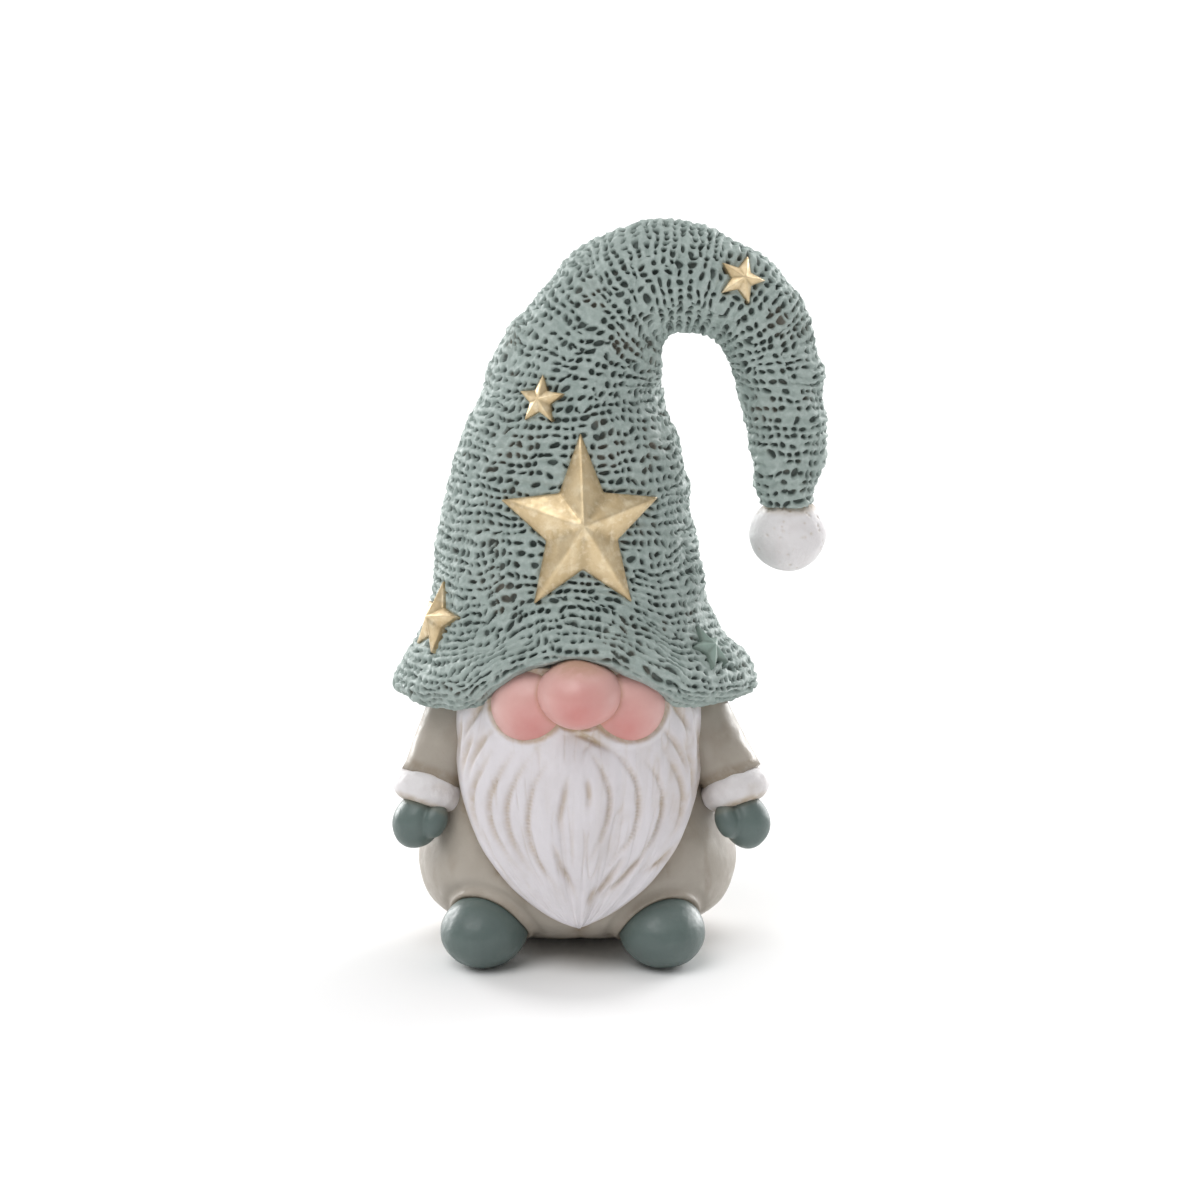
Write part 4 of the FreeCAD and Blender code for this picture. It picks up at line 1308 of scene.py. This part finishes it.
    def with_back(self, front: np.ndarray, behind: np.ndarray) -> np.ndarray:
        """Adds two columns on each side that turn in behind the beard, so that it closes on itself."""
        left, right = front[:, :1].copy(), front[:, -1:].copy()
        middle = front[:, :1].copy()
        middle[..., 0] = OUTLINE.middle
        middle[..., 1] = np.minimum(behind.min(axis=1) + 2.5, self.back_y + 4)[:, None]
        for edge in (left, right):
            edge[..., 1] += 1.6
            edge[..., 0] = OUTLINE.middle + (edge[..., 0] - OUTLINE.middle) * 0.97
        return np.concatenate([middle, left, front, right, middle], axis=1)

    def marks(self, wash: np.ndarray) -> Dict[Mark, np.ndarray]:
        """The wash and painted shade, carried over to the columns behind."""
        first, last = wash[:, :1], wash[:, -1:]
        return {Mark.WASH: np.concatenate([first, first, wash, last, last], axis=1)}


# ---------- coat, arms and boots ----------


@dataclass
class Coat:
    """The pear-shaped coat, hollow underneath where the base disc is let in."""

    columns: int = 480
    rows: int = 150
    rim: float = 3.5
    disc_recess: float = 3.05
    neck_z: float = 66.0
    disc_gap: float = 0.1
    foot_round: float = 1.6
    neck_share: float = 0.6

    def build(self) -> None:
        """Models the coat from the recess in its foot up to its neck."""
        z = np.concatenate([[self.disc_recess, 0.0, 0.0], np.linspace(0.0, self.neck_z, self.rows + 1)])
        half, deep, middle = COAT_FORM.at(z).T
        for line in (half, deep):
            line[:2] -= self.rim - self.disc_gap
            line[2] -= self.foot_round
        half, deep, middle = (np.append(line, [line[-1] * self.neck_share if n < 2 else line[-1]])
                              for n, line in enumerate((half, deep, middle)))
        z = np.append(z, self.neck_z)
        angle = np.linspace(-math.pi, math.pi, self.columns + 1)
        points = np.stack(
            [
                half[:, None] * np.sin(angle),
                middle[:, None] - deep[:, None] * np.cos(angle),
                np.broadcast_to(z[:, None], (len(z), len(angle))),
            ],
            axis=-1,
        )
        points[:, -1] = points[:, 0]
        normals = outward(points, wraps=True)
        skirt = (slice(4, -2), slice(None))
        if np.mean(normals[skirt][..., :2] * points[skirt][..., :2]) < 0:
            normals = -normals
        gap = np.min([egg.distance(points) for egg in BOOTS.values()], axis=0)
        hem = 0.95 * np.exp(-(((gap - 0.8) / 0.8) ** 2)) - 0.45 * np.exp(-(((gap - 2.8) / 1.2) ** 2))
        beside = np.abs(points[..., 0] - OUTLINE.middle) - OUTLINE.reach(points[..., 2])
        ahead = points[..., 1] < -6
        gutter = np.where(ahead, np.exp(-np.maximum(beside, 0.0) / 1.7), 0.0)
        soft = 0.45 * Lumps(61).at(points, 17.0) + 0.22 * Lumps(62).at(points, 7.0)
        height = soft + hem - 0.35 * gutter * (beside > 0)
        height[:4] = 0.0
        height[-2:] = 0.0
        moved = points + normals * height[..., None]
        moved[:, -1] = moved[:, 0]
        streak = Lumps(63).at(points * np.array([1.0, 1.0, 0.45]), 3.0)
        # brown wash with painted shade in the gutter beside the beard, painted shade where the coat meets the
        # boots, and darker towards the bottom; the streaks are the wash's own
        wash = 0.95 * gutter * (0.7 + 0.5 * streak) + 0.95 * np.exp(-np.abs(gap) / 1.1)
        wash = wash + 0.30 * ease(streak, 0.3, 0.9) + 0.35 * (1.0 - ease(points[..., 2], 0.0, 9.0))
        piece = wrap_sheet("painted_coat", moved, {Mark.WASH: wash})
        dress(piece, COAT_ACRYLIC, "coat")


@dataclass
class Arm:
    """One arm, aimed from its shoulder down: sleeve, fur band and mitten."""

    side: Side
    wrist_x: float
    sleeve_out: float
    wrist_y: float = -12.0
    wrist_z: float = 44.5
    out: float = 20.0
    forward: float = 20.0
    sleeve_length: float = 25.0
    wrist_radius: float = 7.5
    shoulder_radius: float = 9.3
    cuff_radius: float = 8.2
    cuff_height: float = 8.2
    cuff_roll: float = 3.9
    palm: Tuple[float, float] = (5.9, 6.9)
    palm_drop: float = 4.0
    thumb: Tuple[float, float] = (3.2, 4.6)
    thumb_out: float = 5.4
    thumb_turn: float = 40.0

    def down(self, out: Optional[float] = None) -> Vector:
        """The unit direction from the wrist to the hand, or one that leans out by some other degrees."""
        across = self.side.value * math.tan(math.radians(self.out if out is None else out))
        return Vector((across, -math.tan(math.radians(self.forward)), -1.0)).normalized()

    def wrist(self) -> Vector:
        """The middle of the sleeve's end."""
        return Vector((self.side.value * self.wrist_x, self.wrist_y, self.wrist_z))

    def run(self, points: np.ndarray) -> np.ndarray:
        """How far points lie from the wrist down the hand, in mm."""
        return (points - np.array(self.wrist())) @ np.array(self.down())

    def build(self) -> None:
        """Models the sleeve, the band and the mitten."""
        self.sleeve()
        self.band()
        self.mitten()

    def tube(self, name: str, profile: Sequence[Tuple[float, float]], seed: int, depth: float, spacing: float,
             columns: int = 160, out: Optional[float] = None) -> bpy.types.Object:
        """Turns a profile about the arm's line and roughens it.

        Args:
            name: the piece's name.
            profile: distance from the wrist down the hand, and radius.
            seed: which unevenness it gets.
            depth: how high its lumps are.
            spacing: how far apart they are.
            columns: faces round it.
            out: degrees that it leans out, if not the hand's.

        Returns:
            The piece.
        """
        down = np.array(self.down(out))
        aside = np.cross(down, [0.0, 1.0, 0.0])
        aside /= np.linalg.norm(aside)
        third = np.cross(down, aside)
        table = np.array(profile)
        angle = np.linspace(-math.pi, math.pi, columns + 1)
        spoke = np.cos(angle)[:, None] * aside + np.sin(angle)[:, None] * third
        points = np.array(self.wrist()) + table[:, 0, None, None] * down
        points = points + table[:, 1, None, None] * spoke[None]
        rough = depth * Lumps(seed).at(points, spacing)
        rough = rough + 0.35 * depth * Lumps(seed + 1).at(points, spacing * 0.4)
        share = np.minimum(table[:, 1] / table[:, 1].max() * 1.6 - 0.3, 1.0).clip(0)[:, None]
        points = points + spoke[None] * (rough * share)[..., None]
        points[:, -1] = points[:, 0]
        return wrap_sheet(name, points, {})

    def sleeve(self) -> None:
        """Models the sleeve, its upper end under the brim."""
        steps = np.linspace(0.0, 1.0, 90)
        radii = self.wrist_radius + (self.shoulder_radius - self.wrist_radius) * steps
        radii = radii + 0.35 * np.sin(steps * math.pi)
        profile = [(2.0, 2.5), (2.0, self.wrist_radius)]
        profile += [(-s * self.sleeve_length, r) for s, r in zip(steps, radii)]
        profile.append((-self.sleeve_length, 4.0))
        piece = self.tube(f"painted_sleeve_{self.side.word}", profile, 81, 0.4, 9.0, out=self.sleeve_out)
        points = spots(piece)
        run = self.run(points)
        streak = Lumps(83).at(points * np.array([1.0, 1.0, 0.5]), 3.0)
        # painted shade where the sleeve goes in under the fur band; the streaks are the wash's own
        wash = 0.55 * ease(run, -2.2, 0.0) + 0.35 * ease(streak, 0.0, 0.8)
        set_mark(piece, Mark.WASH, wash)
        dress(piece, COAT_ACRYLIC, f"sleeve_{self.side.word}")

    def band(self) -> None:
        """Models the puffy fur band round the wrist."""
        turn = np.linspace(0.0, math.pi / 2, 16)
        roll, radius, height = self.cuff_roll, self.cuff_radius + 0.25, self.cuff_height
        upper = [(roll - roll * math.cos(t), radius - roll + roll * math.sin(t)) for t in turn]
        lower = [(height - roll + roll * math.sin(t), radius - roll + roll * math.cos(t)) for t in turn]
        profile = [(0.0, 3.0)] + upper + lower + [(height, 3.0)]
        piece = self.tube(f"painted_cuff_{self.side.word}", profile, 85, 0.5, 4.5, 220)
        points = spots(piece)
        run = self.run(points)
        # painted shade in the joins with the sleeve above and the mitten below; the blotches are the wash's own
        lower_rim = ease(run, self.cuff_height - 1.6, self.cuff_height - 0.2)
        rims = np.maximum(1.0 - ease(run, 0.1, 1.5), lower_rim)
        set_mark(piece, Mark.WASH, 0.7 * rims + 0.25 * ease(-Lumps(85).at(points, 4.5), 0.2, 0.9))
        dress(piece, FUR_ACRYLIC, f"cuff_{self.side.word}")

    def mitten(self) -> None:
        """Models the palm and the thumb and works them into one soft form."""
        down = self.down()
        middle = self.wrist() + down * (self.cuff_height + self.palm_drop)
        angle = math.radians(self.thumb_turn)
        inward = Vector((-self.side.value * math.cos(angle), -math.sin(angle), 0.0))
        thumb_at = middle + inward * self.thumb_out - down
        turn = Vector((0.0, 0.0, 1.0)).rotation_difference(down).to_euler()
        parts = []
        for spot, (girth, length) in ((middle, self.palm), (thumb_at, self.thumb)):
            piece = ball("part", Egg((0.0, 0.0, 0.0), (girth, girth, length)), 48, 32)
            piece.rotation_euler = turn
            piece.location = spot * MM
            set_down(piece)
            parts.append(piece)
        bpy.ops.object.select_all(action="DESELECT")
        for piece in parts:
            piece.select_set(True)
        bpy.context.view_layer.objects.active = parts[0]
        bpy.ops.object.join()
        piece = bpy.context.object
        piece.name = f"painted_mitten_{self.side.word}"
        piece.data.name = piece.name
        apply_modifier(piece, "REMESH", mode="VOXEL", voxel_size=0.3 * MM)
        apply_modifier(piece, "SMOOTH", factor=0.5, iterations=10)
        select_only(piece)
        bpy.ops.object.shade_smooth()
        points = spots(piece)
        away = surface_normals(piece)
        palm_gap = np.linalg.norm(points - np.array(middle), axis=1)
        thumb_gap = np.linalg.norm(points - np.array(thumb_at), axis=1)
        crease = 1.0 - ease(np.abs(palm_gap - thumb_gap - 2.4), 0.0, 1.4)
        points += away * (0.25 * Lumps(91).at(points, 4.5) - 0.25 * crease)[:, None]
        put(piece, points)
        run = self.run(points)
        set_mark(piece, Mark.WASH, 0.7 * (1.0 - ease(run, self.cuff_height, self.cuff_height + 1.6)))
        dress(piece, GREEN_ACRYLIC, f"mitten_{self.side.word}")


@dataclass
class Boot:
    """A round-toed boot with a flat sole that goes back into the coat."""

    side: Side
    sole_round: float = 0.9

    def build(self) -> None:
        """Models the toe, cuts the sole flat and softens its edge."""
        egg = BOOTS[self.side]
        piece = ball(f"painted_boot_{self.side.word}", egg, 160, 110)
        points = spots(piece)
        away = surface_normals(piece)
        points += away * (0.30 * Lumps(95).at(points, 8.0) + 0.08 * Lumps(96).at(points, 3.0))[:, None]
        low = points[:, 2] < self.sole_round
        points[low, 2] = self.sole_round * np.exp((points[low, 2] - self.sole_round) / self.sole_round)
        points[:, 2] = np.maximum(points[:, 2], 0.0)
        put(piece, points)
        set_mark(piece, Mark.WASH, 0.5 * (1.0 - ease(points[:, 2], 0.0, 1.6)))
        dress(piece, GREEN_ACRYLIC, f"boot_{self.side.word}")


# ---------- studio ----------


@dataclass
class Studio:
    """A pale floor, soft lights and the camera."""

    target: Triple = (5.7, 0.0, 85.7)
    distance: float = 900.0
    elevation: float = 12.0
    half_view: float = 148.3
    sensor: float = 36.0
    floor_side: float = 200000.0
    floor_drop: float = 0.02
    floor_white: float = 0.93
    sky: float = 0.36

    def build(self) -> None:
        """Sets up the floor, the light and the camera."""
        self.floor()
        self.light()
        self.camera()

    def floor(self) -> None:
        """Lays a plain pale floor."""
        place = (0.0, 0.0, -self.floor_drop * MM)
        floor = add_form("floor", bpy.ops.mesh.primitive_plane_add, size=self.floor_side * MM, location=place)
        set_down(floor)
        material = bpy.data.materials.new("white_paper")
        material.use_nodes = True
        shader = material.node_tree.nodes["Principled BSDF"]
        shader.inputs["Base Color"].default_value = (*[self.floor_white] * 3, 1.0)
        shader.inputs["Roughness"].default_value = 0.9
        floor.data.materials.append(material)

    def light(self) -> None:
        """Hangs the soft lights and lights the air."""
        world = bpy.data.worlds.new("studio")
        world.use_nodes = True
        world.node_tree.nodes["Background"].inputs["Color"].default_value = (1.0, 1.0, 1.0, 1.0)
        world.node_tree.nodes["Background"].inputs["Strength"].default_value = self.sky
        bpy.context.scene.world = world
        bpy.context.scene.view_settings.view_transform = "Standard"
        # name, degrees round from the front towards +X, degrees up, strength, softness in degrees
        suns = (
            ("key", -38.0, 58.0, 1.35, 45.0),
            ("top", 150.0, 62.0, 0.8, 50.0),
            ("left_rim", -138.0, 15.0, 2.4, 34.0),
            ("right_rim", 138.0, 15.0, 2.4, 34.0),
        )
        for name, round_about, up, power, spread in suns:
            lamp = bpy.data.lights.new(name, "SUN")
            lamp.angle = math.radians(spread)
            lamp.energy = power
            body = bpy.data.objects.new(name, lamp)
            rise = math.radians(up)
            level = Vector(level_way(round_about)) * math.cos(rise)
            toward = level + Vector((0.0, 0.0, math.sin(rise)))
            body.rotation_euler = toward.to_track_quat("Z", "Y").to_euler()
            bpy.context.scene.collection.objects.link(body)

    def camera(self) -> None:
        """Stands the camera in front, a little above the gnome."""
        lens = bpy.data.cameras.new("camera")
        lens.sensor_width = self.sensor
        lens.lens = self.sensor * self.distance / (2 * self.half_view)
        lens.clip_end = 100.0
        body = bpy.data.objects.new("camera", lens)
        angle = math.radians(self.elevation)
        away = Vector((0.0, -math.cos(angle), math.sin(angle)))
        body.location = (Vector(self.target) + away * self.distance) * MM
        body.rotation_euler = (-away).to_track_quat("-Z", "Y").to_euler()
        bpy.context.scene.collection.objects.link(body)
        bpy.context.scene.camera = body


# ---------- assembly ----------


def level_way(degrees: float) -> Triple:
    """A level direction, in degrees round from the front towards +X."""
    return (math.sin(math.radians(degrees)), -math.cos(math.radians(degrees)), 0.0)


def make_stars(hat: Hat) -> List[Star]:
    """The five stars, each with its place on the hat."""
    upright: Triple = (0.0, 0.0, 1.0)
    bend_out = math.radians(120.0)
    reach = hat.bend_radius + 5.6
    on_bend = (hat.bend_x - math.cos(bend_out) * reach, 0.0, hat.bend_z + math.sin(bend_out) * reach)
    gold, gold_slot = GOLD_ACRYLIC, Slot.GOLD
    return [
        Star("star_big", 20.8, 9.4, 5.3, (0, 0, 109.3), level_way(3.0), upright, 0.78, (0.96, 1.08), gold,
             gold_slot, ridge_round=0.45, cuts=11),
        Star("star_crown", 5.4, 2.43, 1.75, (0, 0, 138.7), level_way(-23.0), upright, 0.8, (1.1, 1.15), gold,
             gold_slot, ridge_round=0.16, cuts=5),
        Star("star_brim", 8.8, 3.96, 2.8, (0, 0, 83.5), level_way(-70.0), upright, 0.8, (1.15, 1.08), gold,
             gold_slot, ridge_round=0.2, cuts=6),
        Star("star_tail", 5.6, 2.5, 1.8, on_bend, (0.0, -1.0, 0.0), (1.0, 0.0, 0.0), 0.8, (1.1, 1.1), gold,
             gold_slot, ridge_round=0.16, cuts=5),
        Star("star_plain", 5.7, 2.57, 1.8, (0, 0, 77.8), level_way(59.0), upright, 0.8, (1.1, 1.1),
             SAGE_ACRYLIC, Slot.HAT, ridge_round=0.2, cuts=5),
    ]


def dress_hidden_castings() -> None:
    """Gives the unpainted castings their resin."""
    for node in ("head", "base_disc"):
        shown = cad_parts[node]
        shown.data.materials.clear()
        shown.data.materials.append(BARE_RESIN.material())
        log.info("%s: as cast", node)


def corners(box: Tuple[Vector, Vector]) -> List[List[float]]:
    """A box's two corners as plain numbers."""
    return [list(map(float, corner)) for corner in box]


def main() -> None:
    """Builds the gnome and its studio."""
    logging.basicConfig(level=logging.INFO, format="%(name)s %(message)s")
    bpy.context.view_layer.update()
    hat_skin = skin_of("hat")
    hat = Hat()
    stars = make_stars(hat)
    hat.build(stars, hat_skin)
    for star in stars:
        star.build(hat_skin)
    Bobble().build()
    Face().build()
    Beard().build()
    Coat().build()
    Arm(Side.LEFT, 37.6, 33.0).build()
    Arm(Side.RIGHT, 35.4, 26.0).build()
    for side in Side:
        Boot(side).build()
    dress_hidden_castings()
    Studio().build()


if __name__ == "__main__":
    main()
